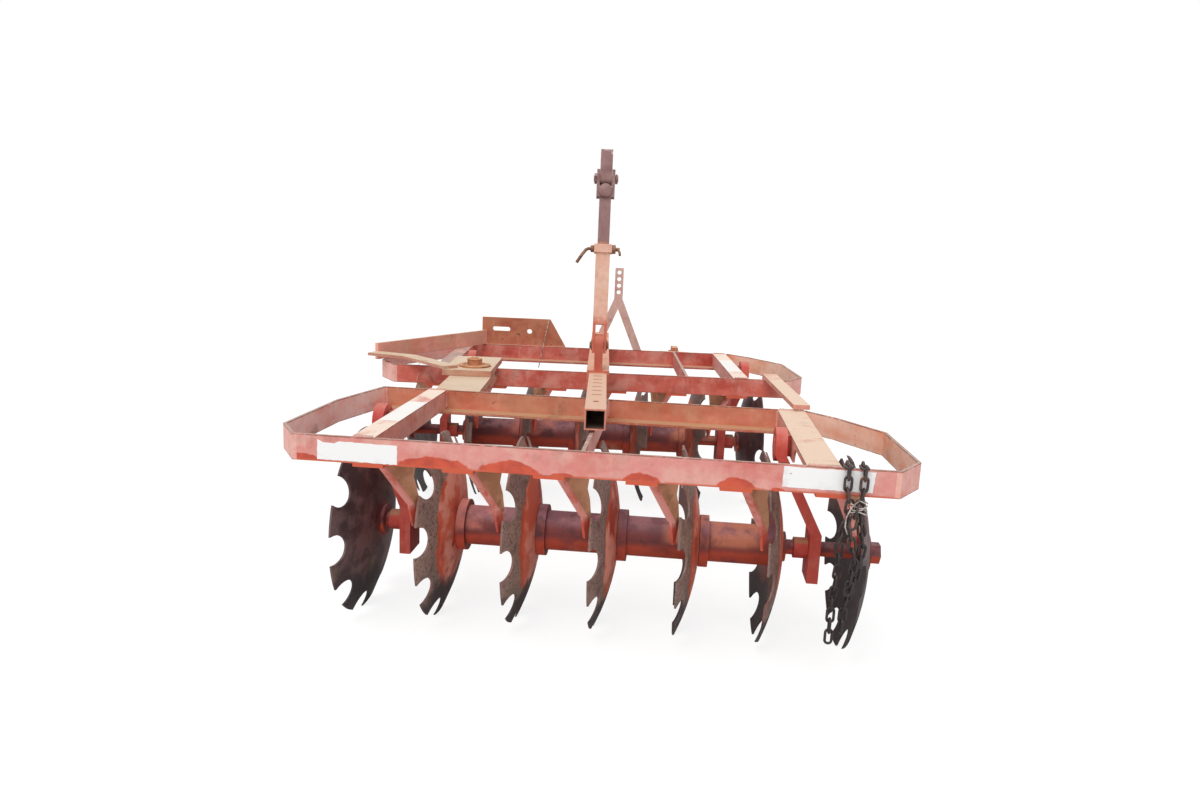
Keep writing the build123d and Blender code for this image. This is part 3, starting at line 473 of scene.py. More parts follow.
def weld(name, lines, bead_size, material, body, seed):
    beads = Tree(name, {"Bead Size": bead_size, "Ripple Length": RIPPLE_LENGTH, "Seed": seed})
    path = beads.add("GeometryNodeMeshToCurve", {"Mesh": beads.given["Geometry"]})
    steps = {"Curve": path, "Length": beads.given["Ripple Length"]}
    path = beads.add("GeometryNodeResampleCurve", steps, mode="LENGTH")
    every_other = beads.math("MODULO", beads.add("GeometryNodeInputIndex"), 2.0)
    ripple = beads.math("MULTIPLY", every_other, RIPPLE_RISE)
    spread = {2: 0.76, 3: 0.92, "Seed": beads.given["Seed"]}
    rough = beads.add("FunctionNodeRandomValue", spread, 1, data_type="FLOAT")
    section = {"Resolution": 7, "Radius": beads.given["Bead Size"]}
    section = beads.add("GeometryNodeCurvePrimitiveCircle", section)
    swell = beads.math("ADD", ripple, rough)
    metal = {"Curve": path, "Profile Curve": section, "Scale": swell, "Fill Caps": True}
    metal = beads.add("GeometryNodeCurveToMesh", metal)
    metal = beads.add("GeometryNodeSetShadeSmooth", {"Geometry": metal})
    ends = [end for line in lines for end in line]
    pairs = [(k, k + 1) for k in range(0, len(ends), 2)]
    return beads.grow(name, metal, material, ends, pairs, {}, body, "frame_paint")


def upright(spot, x, y, lift):
    """A line up the corner of two bars, from a little above the beam's foot."""
    return spot(x, y, FRAME_TOP - BEAD_INSET), spot(x, y, BEAM_FOOT + lift)


# Columns: places, paint, cross bars (middle, width), ends of the front beam, the thin bar
FRAMES = {"rear": (rear, frame_paint, ((-0.543, 0.056), (0.543, 0.080)), (-0.704, 0.576), -0.013),
          "front": (front, front_paint, ((-0.543, 0.056), (0.543, 0.056)), (-0.576, 0.576), 0.346)}
for gang, (spot, paint, bars, front_ends, thin) in FRAMES.items():
    lines = []
    for middle, width in bars:
        left, far = middle - width / 2, middle + width / 2
        for y in (BEAM_THICK, FRAME_DEPTH - BEAM_THICK):
            across = (left + BEAD_INSET, far - BEAD_INSET)
            lines.append([spot(x, y, FRAME_TOP) for x in across])
            lines += [upright(spot, x, y, BAR_LIFT) for x in (left, far)]
    for y in (BEAM_THICK, FRAME_DEPTH - BEAM_THICK):
        lines += [upright(spot, x, y, BAR_LIFT) for x in (thin - THIN_HALF, thin + THIN_HALF)]
    lines += [upright(spot, x, BEAM_THICK, CORNER_LIFT) for x in (-BEAM_HALF, BEAM_HALF)]
    lines += [upright(spot, x, FRAME_DEPTH - BEAM_THICK, CORNER_LIFT) for x in front_ends]
    weld(gang + "_welds", lines, BEAD, paint, gang + "_frame", seed=3)


# Hangers: cast arms under the cross bars, which carry the gangs' bearings. They are bolted
# on, and their paint has kept the most of its red.
hanger_red = old_paint("hanger_red", colour(212, 84, 70), colour(182, 52, 40),
                       colour(214, 140, 124), chalk_share=0.5, rust_share=0.3)
give(hanger_red, "rear_left_hanger", "rear_right_hanger", "front_left_hanger", "front_right_hanger")


# Discs: dished plates of hardened steel, pressed, with notches round the rim. The rim is
# grey-brown with dried soil, the dome keeps the gang's paint, and towards the bottom the
# discs are made nearly black.
DISC_RADIUS = 0.255
HUB_RED = (0.062, 0.040)
ORANGE_RING = (0.160, 0.170)
PAINTED_DOME = (0.182, 0.176)
END_DISC = (0.50, 0.58)
CHAINED_DISC, CHAIN_DARK_LEVEL = (0.50, 0.56), (0.37, 0.33)
MOSS_HEIGHT = (0.21, 0.15)
LOW_DARK_HEIGHT = (0.180, 0.125)


def disc_steel(gang, way):
    axle, centre = joints[gang + "_gang_spin"]["axis"], joints[gang + "_gang_spin"]["pos_m"]
    turn = math.atan2(-axle[1], axle[0])
    centre = Matrix.Rotation(turn, 2) @ Vector(centre[:2])
    steel = Finish(gang + "_disc_steel", roughness=0.55)
    on_gang = steel.moved((-centre.x, -centre.y, -DISC_RADIUS), turn)
    along = steel.part(on_gang, 0)
    out = steel.length(steel.moved(stretch=(0, 1, 1), where=on_gang))
    facing = {0: steel.normal, 1: [way * v for v in axle]}
    facing = steel.add("ShaderNodeVectorMath", facing, operation="DOT_PRODUCT")
    domed = steel.ramp(facing.outputs["Value"], -0.05, 0.05)

    soil = steel.layer(colour(162, 132, 120), colour(142, 114, 106), steel.patches(9, 0.42, 0.62))
    grit = steel.patches(150, 0.50, 0.64, 3.0, offset=(2, 2, 2))
    soil = steel.layer(soil, colour(104, 84, 78), grit)
    clods = steel.patches(24, 0.52, 0.70, 8.0, offset=(7, 2, 2))
    soil = steel.layer(soil, colour(112, 84, 74), clods)
    specks = steel.patches(190, 0.60, 0.68, 2.0, offset=(1, 4, 2))
    soil = steel.layer(soil, colour(190, 160, 144), specks, 0.6)
    paint = steel.layer(colour(250, 164, 142), colour(230, 110, 82),
                        steel.patches(10, 0.42, 0.58, offset=(8, 1, 3)))
    darker = steel.patches(7, 0.54, 0.66, 6.0, offset=(0, 8, 1))
    paint = steel.layer(paint, colour(184, 72, 54), darker)
    ring = steel.sums("ADD", out, steel.times(steel.patches(14, 0.3, 0.7, offset=(9, 3, 0)), 0.014))
    paint = steel.layer(paint, colour(214, 88, 56), steel.ramp(ring, *ORANGE_RING),
                        steel.patches(8, 0.36, 0.52, offset=(6, 0, 9)))
    body = steel.layer(soil, paint, steel.ramp(ring, *PAINTED_DOME), domed)
    hollow = steel.layer(colour(112, 84, 78), colour(140, 68, 56),
                         steel.patches(6, 0.45, 0.62, offset=(5, 5, 1)))
    body = steel.layer(hollow, body, domed)

    dark = steel.layer(colour(112, 88, 88), colour(66, 46, 50),
                       steel.patches(12, 0.42, 0.6, offset=(4, 4, 4)))
    dark = steel.layer(dark, colour(136, 52, 44), steel.ramp(out, *HUB_RED))
    from_middle = steel.add("ShaderNodeMath", {0: along}, operation="ABSOLUTE").outputs[0]
    body = steel.layer(body, dark, steel.ramp(from_middle, *END_DISC, 0, 0.96))
    moss = steel.times(steel.ramp(steel.height, *MOSS_HEIGHT),
                       steel.patches(18, 0.5, 0.66, offset=(4, 0, 6)))
    body = steel.layer(body, colour(112, 104, 66), moss, 0.45)
    # Towards the bottom the discs turn nearly black, along a wavy line.
    uneven = steel.times(steel.patches(11, 0.3, 0.7, 6.0, offset=(3, 3, 0)), 0.06)
    level = steel.sums("ADD", steel.height, uneven)
    body = steel.layer(body, colour(44, 34, 36), steel.ramp(level, *LOW_DARK_HEIGHT, 0, 0.95))
    if gang == "rear":
        # The lower part of the rear gang's end disc, beside the chain, is made nearly black.
        dark_by_chain = steel.times(steel.ramp(along, *CHAINED_DISC), steel.ramp(level, *CHAIN_DARK_LEVEL))
        body = steel.layer(body, colour(42, 32, 34), dark_by_chain, 0.85)
    else:
        shaded = steel.ramp(steel.patches(5, 0.3, 0.7, offset=(1, 0, 1)), 0, 1, 0.2, 0.6)
        body = steel.layer(body, colour(58, 38, 40), shaded)
    return steel.done(body, grain=90, relief=0.25, depth=0.0012)


give(disc_steel("rear", 1), "rear_discs")
give(disc_steel("front", -1), "front_discs")


# Spools: castings with bell ends, clamped between the discs on each gang's axle. Their red
# is darker: dull and stained above, with tan patches, and orange below, where the rain
# doesn't reach.
spools = Finish("spool_paint", roughness=0.6)
cast = spools.layer(colour(136, 60, 54), colour(112, 50, 52), spools.patches(7, 0.40, 0.60))
above = spools.layer(colour(158, 104, 108), colour(120, 70, 78),
                     spools.patches(12, 0.40, 0.62, offset=(5, 1, 0)))
cast = spools.layer(cast, above, spools.ramp(spools.upward, 0.30, 0.85))
stains = spools.patches(22, 0.54, 0.66, 8.0, offset=(2, 0, 5))
cast = spools.layer(cast, colour(84, 46, 50), stains, 0.8)
under = spools.times(spools.ramp(spools.upward, 0.10, -0.35),
                     spools.patches(9, 0.25, 0.5, offset=(1, 1, 1)))
cast = spools.layer(cast, colour(204, 78, 48), under, 0.9)
pale_spots = spools.patches(4, 0.58, 0.68, offset=(6.6, 2, 2))
cast = spools.layer(cast, colour(222, 142, 112), pale_spots, 0.75)
across = spools.part(spools.in_rear_frame(), 0)
# Columns: start and end across the rear frame, colour
TAN_PATCHES = ((-0.45, -0.26, colour(214, 126, 110)), (0.19, 0.44, colour(210, 126, 92)))
for start, end, tan in TAN_PATCHES:
    worn = spools.times(spools.between(across, start, end, 0.02),
                        spools.ramp(spools.upward, -0.10, 0.25))
    ragged = spools.patches(13, 0.34, 0.60, 7.0, offset=(2, 2, 1))
    cast = spools.layer(cast, tan, worn, ragged, 0.75)
spool_paint = spools.done(cast, grain=110, relief=0.3, depth=0.0012)
give(spool_paint, "front_spools", "rear_spools")


# Scrapers: bent plates on each rear beam that keep the discs clean. They are tan with soil.
# Their paint is left, pink, along the edge that faces back, and it is red at the tips and
# on the scoured feet.
FOOT_DROP = 0.008
KNEE_DROP, UPPER_SLOPE, LOWER_SLOPE = 0.114, 0.754, 0.2
EDGE_START, EDGE_SLOPE = 0.021, 1.269
PINK_WIDTH = (0.0145, 0.0115)
TIP_HEIGHT = (0.378, 0.352)
FOOT_HEIGHT = (BEAM_FOOT - 0.010, BEAM_FOOT - 0.007)


def scraper_paint(name, frame_places):
    paint = Finish(name)
    soiled = paint.layer(colour(206, 150, 116), colour(172, 120, 88), paint.patches(14, 0.40, 0.62))
    clods = paint.patches(30, 0.56, 0.72, 7.0, offset=(3, 3, 3))
    soiled = paint.layer(soiled, colour(124, 92, 66), clods)
    bare_red = paint.patches(9, 0.60, 0.66, offset=(1, 6, 6))
    soiled = paint.layer(soiled, colour(196, 74, 52), bare_red)
    pink = paint.layer(colour(236, 156, 144), colour(214, 112, 96), paint.patches(16, 0.48, 0.64))
    drop = paint.sums("SUBTRACT", BEAM_FOOT - FOOT_DROP, paint.height)
    upper = paint.times(paint.sums("MINIMUM", drop, KNEE_DROP), UPPER_SLOPE)
    lower = paint.times(paint.most(paint.sums("SUBTRACT", drop, KNEE_DROP), 0.0), LOWER_SLOPE)
    back = paint.sums("SUBTRACT", paint.part(frame_places(paint), 1), EDGE_START)
    from_edge = paint.sums("SUBTRACT", paint.times(back, EDGE_SLOPE), upper, lower)
    coat = paint.layer(soiled, pink, paint.ramp(from_edge, *PINK_WIDTH))
    tip = paint.layer(colour(206, 70, 44), colour(160, 56, 40),
                      paint.patches(30, 0.45, 0.6, offset=(0, 0, 4)))
    coat = paint.layer(coat, tip, paint.ramp(paint.height, *TIP_HEIGHT, 0, 0.85))
    coat = paint.layer(coat, colour(212, 92, 62), paint.ramp(paint.height, *FOOT_HEIGHT))
    return paint.done(coat)


give(scraper_paint("rear_scraper_paint", Finish.in_rear_frame), "rear_scrapers")
give(scraper_paint("front_scraper_paint", Finish.in_front_frame), "front_scrapers")


# Hinge: the rear frame's tongue turns on one bolt between the front frame's two plates. A
# wide washer lies under the bolt's head, with a small one and a cap on top. Dust and rust
# have turned the plates and the bolt ochre, and the strap that ends there.
UP = (0, 0, 1)
SMALL_WASHER_SINK = 0.0005
# Washers: outer radius, hole's radius, thickness
WIDE_WASHER = (0.056, 0.0355, 0.006)
SMALL_WASHER = (0.026, 0.012, 0.005)
# Turned shapes: radius, height
BOLT_CAP = [(0.012, -0.004), (0.012, 0.006), (0.009, 0.009)]


def ring(mesh, middle, facing, side, radius, sides, turn=0.0):
    """A ring of points about a middle, square to the way it faces."""
    points = []
    for k in range(sides):
        angle = 2 * math.pi * k / sides + turn
        out = math.cos(angle) * side + math.sin(angle) * facing.cross(side)
        points.append(mesh.verts.new(middle + radius * out))
    return points


def join(mesh, rings, closed, smooth):
    """Faces from each ring to the next; open ends are capped."""
    sides = len(rings[0])
    for i in range(len(rings) if closed else len(rings) - 1):
        near, after = rings[i], rings[(i + 1) % len(rings)]
        for k in range(sides):
            corners = near[k], after[k], after[(k + 1) % sides], near[(k + 1) % sides]
            mesh.faces.new(corners).smooth = smooth
    if not closed:
        mesh.faces.new(rings[0])
        mesh.faces.new(rings[-1][::-1])


def lathe(mesh, profile, at, way, sides, turn=0.0, closed=False):
    """A turned shape, set on a place and facing a way."""
    facing = Vector(way).normalized()
    side = facing.orthogonal().normalized()
    rings = [ring(mesh, Vector(at) + height * facing, facing, side, radius, sides, turn)
             for radius, height in profile]
    join(mesh, rings, closed, sides > 8)


def washer(mesh, at, way, size, hole, thick):
    edge = 0.2 * thick
    profile = [(hole, 0), (size, 0), (size, thick - edge), (size - edge, thick), (hole, thick)]
    lathe(mesh, profile, at, way, sides=32, closed=True)


def put(name, mesh, body, material):
    """A new piece that moves with a body, and takes its finish from a slot."""
    bmesh.ops.recalc_face_normals(mesh, faces=mesh.faces)
    made = bpy.data.meshes.new(name)
    mesh.to_mesh(made)
    mesh.free()
    made.materials.append(material)
    thing = bpy.data.objects.new(name, made)
    scene.collection.objects.link(thing)
    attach(thing, body)


hinge_paint = old_paint("hinge_paint", colour(200, 140, 120), colour(176, 96, 78),
                        colour(226, 206, 178), chalk_share=0.85, rust_share=0.5, dust_share=0.35)
give(hinge_paint, "hinge_top_plate", "hinge_tongue", "hinge_lower_plate", "strap")
ochre = Finish("ochre_rust", roughness=0.7)
crust = ochre.layer(colour(196, 132, 92), colour(158, 96, 64), ochre.patches(24, 0.42, 0.62))
pale_crust = ochre.times(ochre.on_top(), ochre.patches(40, 0.35, 0.6))
crust = ochre.layer(crust, colour(222, 176, 134), pale_crust, 0.8)
ochre_rust = ochre.done(crust, grain=120, relief=0.5, depth=0.001)
give(ochre_rust, "hinge_bolt")

hinge_rings = bmesh.new()
plate_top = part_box("hinge_top_plate")[1].z
bolt_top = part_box("hinge_bolt")[1].z
washer(hinge_rings, (hinge.x, hinge.y, plate_top), UP, *WIDE_WASHER)
washer(hinge_rings, (hinge.x, hinge.y, bolt_top - SMALL_WASHER_SINK), UP, *SMALL_WASHER)
lathe(hinge_rings, BOLT_CAP, (hinge.x, hinge.y, bolt_top), UP, sides=16)
put("hinge_rings", hinge_rings, "front_frame", ochre_rust)


# Sleeve: square steel tube, welded on the front frame's beams, with the lug for the mast
# on top. The lug has kept more of its red. The beads of the sleeve and of the hinge's top
# plate are one piece.
SLEEVE_RED = (colour(212, 128, 104), colour(184, 78, 54), colour(232, 180, 148), 0.8, 0.8)
SLEEVE_BEAD = 0.0042
BEAD_LONG, BEAD_STARTS = 0.048, (0.247, 0.862)
PLATE_BEAD_Y, PLATE_BEAD_LEFT, PLATE_BEAD_RIGHT = 0.2415, 0.05, 0.01


def two_tone(name, shades, low, high, over, share):
    """Old paint that turns into another colour from one height to another."""
    paint = Finish(name)
    coat = paint_coat(paint, *shades)
    wobble = paint.times(paint.patches(30, 0.3, 0.7, offset=(3, 7, 3)), 0.03)
    reach = paint.ramp(paint.sums("ADD", paint.height, wobble), low, high)
    return paint.done(paint.layer(coat, over, reach, share))


give(two_tone("sleeve_paint", SLEEVE_RED, 0.64, 0.68, colour(186, 84, 64), 0.65), "sleeve")
plate_low, plate_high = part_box("hinge_top_plate")
sleeve_low, sleeve_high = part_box("sleeve")
lines = [(Vector((plate_low.x + PLATE_BEAD_LEFT, PLATE_BEAD_Y, FRAME_TOP)),
          Vector((plate_high.x - PLATE_BEAD_RIGHT, PLATE_BEAD_Y, FRAME_TOP)))]
for x in (sleeve_low.x, sleeve_high.x):
    for y in BEAD_STARTS:
        lines.append((Vector((x, y, FRAME_TOP)), Vector((x, y + BEAD_LONG, FRAME_TOP))))
weld("sleeve_welds", lines, SLEEVE_BEAD, hinge_paint, "front_frame", seed=5)


# Adjusting tube: square steel tube that slides in the sleeve, with a row of slots along its
# top for the stop, tan with soil. Its bore is black with old grease, which shows through
# the slots.
BORE_HALF = 0.0236
FIRST_SLOT, SLOT_PITCH, SLOTS = 0.204, 0.064, 6
SLOT_MIDDLE, SLOT_HALF_LONG, SLOT_HALF_WIDE = 0.0275, 0.0135, 0.0048
tube = Finish("tube_paint")
coat = paint_coat(tube, colour(226, 150, 126), colour(196, 104, 78), colour(224, 186, 160),
                  chalk_share=0.9, rust_share=0.6)
tube_low, tube_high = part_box("adjusting_tube")
bore = []
for axis in (0, 2):
    middle = (tube_low[axis] + tube_high[axis]) / 2
    low, high = middle - BORE_HALF, middle + BORE_HALF
    bore.append(tube.between(tube.part(tube.where, axis), low, high, 0.0004))
coat = tube.layer(coat, colour(66, 42, 38), *bore, 0.92)
run = tube.sums("SUBTRACT", tube.part(tube.where, 1), tube_low.y + FIRST_SLOT - SLOT_PITCH / 2)
from_slot = tube.sums("SUBTRACT", tube.sums("MODULO", run, SLOT_PITCH), SLOT_PITCH / 2)
slot_left, slot_right = SLOT_MIDDLE - SLOT_HALF_LONG, SLOT_MIDDLE + SLOT_HALF_LONG
grease = tube.times(tube.between(from_slot, -SLOT_HALF_WIDE, SLOT_HALF_WIDE, 0.0014),
                    tube.between(tube.part(tube.where, 0), slot_left, slot_right, 0.002),
                    tube.on_top(), tube.between(run, 0, SLOTS * SLOT_PITCH, 0.001))
give(tube.done(tube.layer(coat, colour(86, 56, 48), grease, 0.85)), "adjusting_tube")


# Hitch: two upright plates at the front of the front frame, an arm at its side, and two
# pins for the tractor's lower links. The plates are rusty orange and the arm is pink. Pins
# and bolts are bare steel with a brown skin.
rust_orange = old_paint("rust_orange", colour(196, 112, 84), colour(166, 76, 50),
                        colour(224, 176, 130), chalk_share=0.8, rust_share=0.9, dust_share=0.35)
give(rust_orange, "hitch_plate_left", "hitch_plate_right")
arm_paint = old_paint("arm_paint", colour(248, 180, 164), colour(224, 130, 106),
                      colour(200, 180, 140), chalk_share=0.7, rust_share=0.5, dust_share=0.25)
give(arm_paint, "side_arm")
bare = Finish("bare_steel", roughness=0.5)
skin = bare.layer(colour(150, 108, 84), colour(100, 68, 54), bare.patches(40, 0.42, 0.6))
bare_steel = bare.done(bare.layer(skin, colour(206, 150, 112), bare.on_top(), 0.55))
give(bare_steel, "hitch_pin_left", "hitch_pin_right")


# Stand and support arm: the stand for the mast is bent flat bar with holes, welded on the
# front beam, and is a dusty pink. The arm is flat bar that reaches from the front frame
# over the rear one, and is as bleached as the cross bars.
stand_paint = old_paint("stand_paint", colour(214, 178, 168), colour(190, 136, 124),
                        chalk_share=0.8, rust_share=0.5)
give(stand_paint, "mast_stand")
give(bleached_paint, "support_arm")


# Mast: a steel tube with a fork that stands on the sleeve's lug, and a bar that slides out
# of it, with a clevis and the block for the top link. The tube is bleached nearly to cream,
# but red at the fork, and the bar and the block are dull mauve steel.
CREAM = (colour(232, 186, 164), colour(208, 136, 108), CHALK, 0.8, 0.6)
MAUVE = (colour(150, 114, 112), colour(122, 84, 84), colour(206, 172, 160), 0.6, 0.6)
LEAN = math.radians(8)
bar_steel = two_tone("bar_steel", MAUVE, 1.06, 1.03, colour(206, 132, 92), 0.7)
give(two_tone("mast_paint", CREAM, 0.83, 0.79, colour(202, 88, 62), 0.85), "mast_tube")
give(bar_steel, "mast_bar")
give(two_tone("block_steel", MAUVE, 1.328, 1.338, colour(226, 202, 192), 0.9), "link_block")
give(bare_steel, "mast_pin", "clevis_pin")
pin_low, pin_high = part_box("mast_pin")
foot = (pin_low + pin_high) / 2


def on_mast(x, y, z):
    """A place on the leaning mast, from the pin at its foot."""
    return foot + Matrix.Rotation(-LEAN, 3, "X") @ Vector((x, y, z))


def sweep(mesh, path, radius, sides):
    """A round wire along points; the radius is one number, or one for each point."""
    rings, side = [], None
    for i, point in enumerate(path):
        before, after = path[max(i - 1, 0)], path[min(i + 1, len(path) - 1)]
        along = (after - before).normalized()
        side = side - side.dot(along) * along if side else along.orthogonal()
        side = side.normalized()
        size = radius[i] if isinstance(radius, list) else radius
        rings.append(ring(mesh, point, along, side, size, sides))
    join(mesh, rings, False, True)


def nut(mesh, at, way, size, hole, thick, turn):
    profile = [(hole, 0), (size, 0), (size, 0.8 * thick), (0.88 * size, thick), (hole, thick)]
    lathe(mesh, profile, at, way, sides=6, turn=turn, closed=True)


# The lock screw clamps the bar in the tube: a boss on the collar's left side, a screw with
# a bent handle, and on the right side a nut and the screw's hooked end.
SCREW_HEIGHT = 0.304
HANDLE_RADIUS, HOOK_RADIUS = 0.0052, 0.004
# Turned shapes: radius, height
SCREW_BOSS = [(0.0115, 0), (0.0115, 0.010), (0.009, 0.012)]
SCREW_END = [(0.0062, 0), (0.0062, 0.022), (0.005, 0.024)]
# Nuts: outer radius, hole's radius, thickness, turn
SCREW_NUT = (0.016, 0.006, 0.012, 0.3)
# Bends of the handle and the hook, as on_mast takes them
HANDLE = [(-0.030, 0, 0.304), (-0.046, 0, 0.304), (-0.054, -0.002, 0.300), (-0.066, -0.005, 0.284),
          (-0.082, -0.008, 0.258)]
HOOK = [(0.046, -0.004, 0.304), (0.052, -0.006, 0.296), (0.054, -0.007, 0.284)]
screw = bmesh.new()
lathe(screw, SCREW_BOSS, on_mast(-0.028, 0, SCREW_HEIGHT), (-1, 0, 0), sides=20)
sweep(screw, [on_mast(*point) for point in HANDLE], HANDLE_RADIUS, sides=10)
nut(screw, on_mast(0.028, 0, SCREW_HEIGHT), (1, 0, 0), *SCREW_NUT)
lathe(screw, SCREW_END, on_mast(0.029, 0, SCREW_HEIGHT), (1, 0, 0), sides=14)
sweep(screw, [on_mast(*point) for point in HOOK], HOOK_RADIUS, sides=8)
put("lock_screw", screw, "mast", bare_steel)

# A round boss closes the end of the bar below the clevis, and nuts hold the clevis pin.
# Washers lie between the fork and the lug, on the pin at the foot.
BAR_BOSS = [(0.0215, 0), (0.0215, 0.004), (0.019, 0.007), (0.008, 0.008)]
BOSS_OUT, BOSS_HEIGHT = -0.0225, 0.484
CLEVIS_NUT, CLEVIS_NUT_OUT, CLEVIS_HEIGHT = (0.0165, 0.0096, 0.0075, 0.2), 0.0292, 0.524
PIN_WASHER, PIN_WASHER_OUT = (0.017, 0.0111, 0.003), 0.0228
clevis_nuts = bmesh.new()
boss_way = on_mast(0, -1, 0) - foot
lathe(clevis_nuts, BAR_BOSS, on_mast(0, BOSS_OUT, BOSS_HEIGHT), boss_way, sides=28)
for way in (-1, 1):
    nut(clevis_nuts, on_mast(way * CLEVIS_NUT_OUT, 0, CLEVIS_HEIGHT), (way, 0, 0), *CLEVIS_NUT)
put("clevis_nuts", clevis_nuts, "mast_bar", bar_steel)
pin_washers = bmesh.new()
for way in (-1, 1):
    washer(pin_washers, on_mast(way * PIN_WASHER_OUT, 0, 0), (way, 0, 0), *PIN_WASHER)
put("mast_pin_washers", pin_washers, "front_frame", bare_steel)


# Chain: links of round steel, bent to an oval and welded, hung over the rear beam. Each one
# takes its place, its turn and its length from its plain link in the CAD model.
LINK = {"Link Length": 0.041, "Link Width": 0.022, "Wire Radius": 0.00325}
ROUND_END = 0.49
chain = Finish("chain_steel", roughness=0.5)
iron = chain.layer(colour(80, 66, 62), colour(52, 42, 42), chain.patches(60, 0.42, 0.58))
iron = chain.layer(iron, colour(128, 84, 62), chain.patches(34, 0.56, 0.68, offset=(3, 1, 2)))
iron = chain.layer(iron, colour(40, 32, 34), chain.ramp(chain.height, 0.44, 0.36, 0, 0.8))
chain_steel = chain.done(iron)
give(chain_steel, "chain")

cad_chain = bmesh.new()
cad_chain.from_mesh(nodes["chain"].data)
bmesh.ops.remove_doubles(cad_chain, verts=cad_chain.verts, dist=1e-6)
found = set()
link_places = []
for first in cad_chain.verts:
    if first in found:
        continue
    found.add(first)
    one_link = [first]
    for vert in one_link:
        for edge in vert.link_edges:
            other = edge.other_vert(vert)
            if other not in found:
                found.add(other)
                one_link.append(other)
    spots = np.array([vert.co for vert in one_link])
    middle = spots.mean(0)
    axes = np.linalg.eigh(np.cov((spots - middle).T))[1]
    wide, long = Vector(axes[:, 1]), Vector(axes[:, 2])
    turn = Matrix((wide, long.cross(wide), long)).transposed()
    half_length = np.abs((spots - middle) @ axes[:, 2]).max()
    size = (1, 1, 2 * half_length / LINK["Link Length"])
    link_places.append((Vector(middle), turn.to_euler(), size))
cad_chain.free()
link_places.sort(key=lambda item: tuple(round(v, 5) for v in item[0]))
places, turns, lengths = zip(*link_places)

links = Tree("chain_link", LINK)
wire = links.given["Wire Radius"]
both_sides = links.math("MULTIPLY", wire, 2.0)
tall, broad = (links.math("SUBTRACT", links.given[key], both_sides)
               for key in ("Link Length", "Link Width"))
outline = links.add("GeometryNodeCurvePrimitiveQuadrilateral", {"Width": broad, "Height": tall})
bend = links.math("MULTIPLY", broad, ROUND_END)
bend = {"Curve": outline, "Count": 4, "Radius": bend, "Limit Radius": True}
outline = links.add("GeometryNodeFilletCurve", bend, mode="POLY")
section = links.add("GeometryNodeCurvePrimitiveCircle", {"Resolution": 8, "Radius": wire})
link = links.add("GeometryNodeCurveToMesh", {"Curve": outline, "Profile Curve": section})
link = links.add("GeometryNodeTransform", {"Geometry": link, "Rotation": (math.pi / 2, 0, 0)})
link = links.add("GeometryNodeSetShadeSmooth", {"Geometry": link})
turn, size = (links.add("GeometryNodeInputNamedAttribute", {"Name": name}, data_type="FLOAT_VECTOR")
              for name in ("turn", "size"))
copies = {"Points": links.given["Geometry"], "Instance": link, "Rotation": turn, "Scale": size}
copies = links.add("GeometryNodeInstanceOnPoints", copies)
columns = {"turn": turns, "size": lengths}
round_links = links.grow("chain_links", copies, chain_steel, places, [], columns,
                         "rear_frame", "chain_steel")
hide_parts("chain")

# A pale wire holds the chain's fourth run, twisted round it below the beam, and its end
# hangs down.
TIE_PLACE = (0.622, -0.018, 0.488)
WRAP_STEPS, WRAP_STEP, WRAP_RADIUS = 46, 0.42, 0.0015
WRAP_WIDE, WRAP_DEEP, WRAP_BACK, WRAP_FALL = 0.019, 0.012, -0.006, 0.0012
TAIL_RADIUS, TAIL_BACK = 0.0016, -0.019
TAIL = [(0.010, 0.004), (-0.004, 0.010), (-0.020, -0.006), (-0.030, -0.030), (-0.031, -0.052),
        (-0.024, -0.070)]
pale = Finish("pale_wire", roughness=0.5)
dulled = pale.layer(colour(206, 200, 196), colour(150, 120, 104), pale.patches(60, 0.45, 0.6))
pale_wire = pale.done(dulled)
tie = bmesh.new()
wrap = rear(*TIE_PLACE)
coil = []
for a in [WRAP_STEP * k for k in range(WRAP_STEPS)]:
    fall = -WRAP_FALL * a + 0.003 * math.sin(2.3 * a)
    back = WRAP_BACK + WRAP_DEEP * math.sin(a)
    coil.append(wrap + Vector((WRAP_WIDE * math.cos(a), back, fall)))
sweep(tie, coil, WRAP_RADIUS, sides=6)
sweep(tie, [wrap + Vector((x, TAIL_BACK, z)) for x, z in TAIL], TAIL_RADIUS, sides=6)
put("chain_tie", tie, "rear_frame", pale_wire)


# Stickers: two blank, white plastic sheets stuck on the rear beam's back, with worn corners
# and a little dirt on them. Their corners are given along the beam, and as a height.
STICKERS = {
    "left_sticker": [(-0.654, 0.502), (-0.457, 0.500), (-0.457, 0.547), (-0.600, 0.549),
                     (-0.612, 0.543), (-0.640, 0.545), (-0.653, 0.551)],
    "right_sticker": [(0.450, 0.509), (0.655, 0.507), (0.659, 0.556), (0.452, 0.558)],
}
STICKER_FACES = (-0.0006, -0.0001)
WEAR_STEP, WEAR_DEPTH = 0.008, 0.0009
sticker = Finish("sticker_white", roughness=0.5)
dirt = sticker.patches(14, 0.56, 0.74, 7.0)
white = sticker.layer(colour(253, 253, 253), colour(214, 206, 200), dirt, 0.55)
specks = sticker.patches(60, 0.69, 0.74, 6.0, offset=(5, 0, 2))
white = sticker.layer(white, colour(206, 150, 136), specks)
sticker_white = sticker.done(white, relief=0.03)
wear = random.Random(7)


def worn_edge(corners):
    """A closed outline through corners, its sides a little ragged."""
    points = []
    for (x0, z0), (x1, z1) in zip(corners, corners[1:] + corners[:1]):
        length = math.hypot(x1 - x0, z1 - z0)
        count = max(1, round(length / WEAR_STEP))
        for i in range(count):
            t = i / count
            rough = wear.uniform(-WEAR_DEPTH, WEAR_DEPTH) if i else 0
            x, z = x0 + t * (x1 - x0), z0 + t * (z1 - z0)
            points.append((x + rough * (z1 - z0) / length, z - rough * (x1 - x0) / length))
    return points


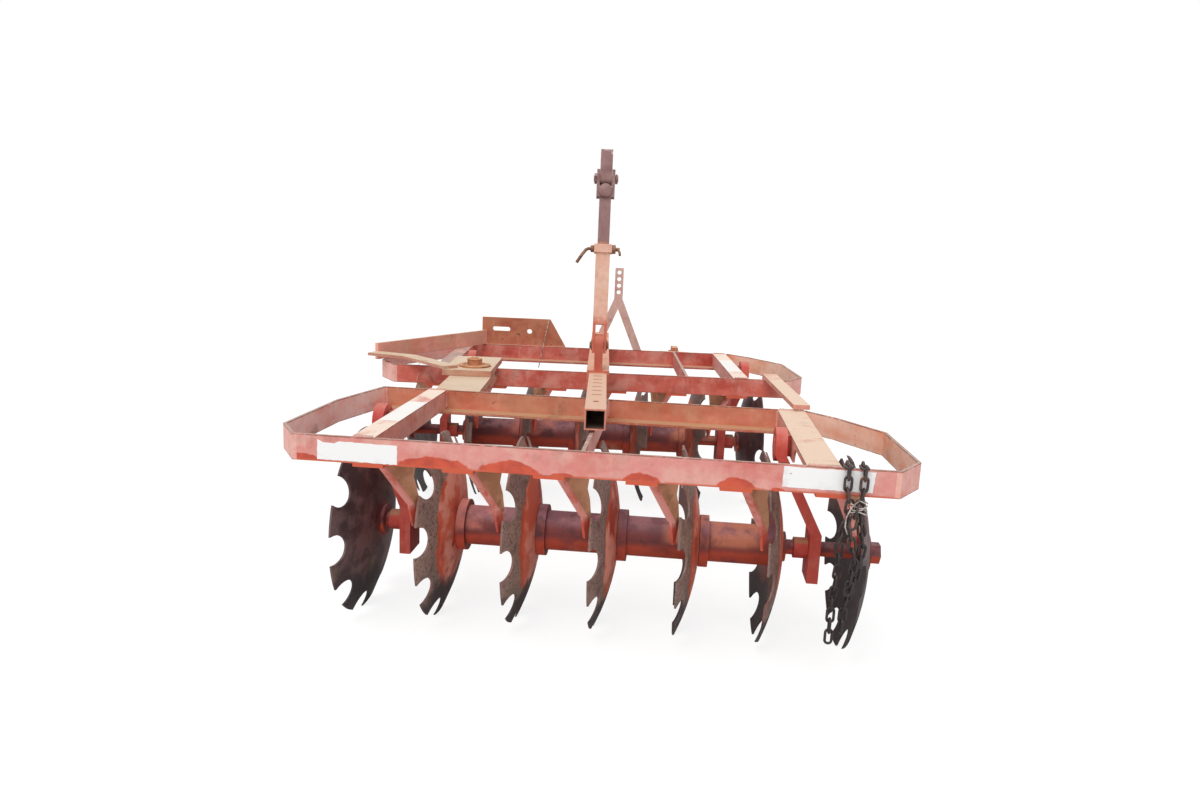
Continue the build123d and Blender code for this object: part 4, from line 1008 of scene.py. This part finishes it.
for name, corners in STICKERS.items():
    sheet = bmesh.new()
    outline = worn_edge(corners)
    outer, inner = [[sheet.verts.new(rear(x, depth, z)) for x, z in outline]
                    for depth in STICKER_FACES]
    sheet.faces.new(outer)
    sheet.faces.new(inner[::-1])
    for k in range(len(outline)):
        sheet.faces.new((outer[k], inner[k], inner[k - 1], outer[k - 1]))
    put(name, sheet, "rear_frame", sticker_white)


# Hanging wire: a thin, pale wire, caught on the corner of the left hitch plate, hangs from
# it in a slight bow.
WIRE_RADIUS, WIRE_STEPS = 0.0019, 12
WIRE_DROP, WIRE_DRIFT, WIRE_BOW = 0.213, 0.040, 0.014
hitch_low, hitch_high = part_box("hitch_plate_left")
top_corner = Vector((hitch_high.x - 0.074, hitch_low.y - 0.002, hitch_high.z + 0.001))
hang = [top_corner + Vector((-WIRE_DRIFT * t, -0.002 - WIRE_BOW * math.sin(3 * t), -WIRE_DROP * t))
        for t in [i / WIRE_STEPS for i in range(WIRE_STEPS + 1)]]
loose = bmesh.new()
sweep(loose, hang, WIRE_RADIUS, sides=6)
put("hanging_wire", loose, "front_frame", pale_wire)


# Straw: dry stems, caught at the hinge and in the front frame's left hoop as the harrow
# worked, are left where they dried.
STEMS, STEM_STEPS = 26, 5
STEM_X, STEM_Y, STEM_ROOT = (-0.66, -0.46), (0.235, 0.305), 0.506
STEM_LEAN, STEM_LENGTH = (-1.1, 1.1), (0.035, 0.10)
STEM_RADII = [0.0011 - 0.0001 * i for i in range(STEM_STEPS + 1)]
straw = Finish("dry_straw", roughness=0.8)
dry = straw.layer(colour(214, 190, 150), colour(166, 132, 96), straw.patches(30, 0.4, 0.6))
dry_straw = straw.done(dry, relief=0.05)
stems = bmesh.new()
wind = random.Random(11)
for _ in range(STEMS):
    root = Vector((wind.uniform(*STEM_X), wind.uniform(*STEM_Y), STEM_ROOT))
    lean, size = wind.uniform(*STEM_LEAN), wind.uniform(*STEM_LENGTH)
    path = []
    for t in [i / STEM_STEPS for i in range(STEM_STEPS + 1)]:
        aside = t * math.sin(lean) + 0.2 * t * t
        upward = t * math.cos(lean) * (1 - 0.25 * t)
        path.append(root + size * Vector((aside, wind.uniform(-0.03, 0.03), upward)))
    sweep(stems, path, STEM_RADII, sides=5)
put("straw", stems, "front_frame", dry_straw)
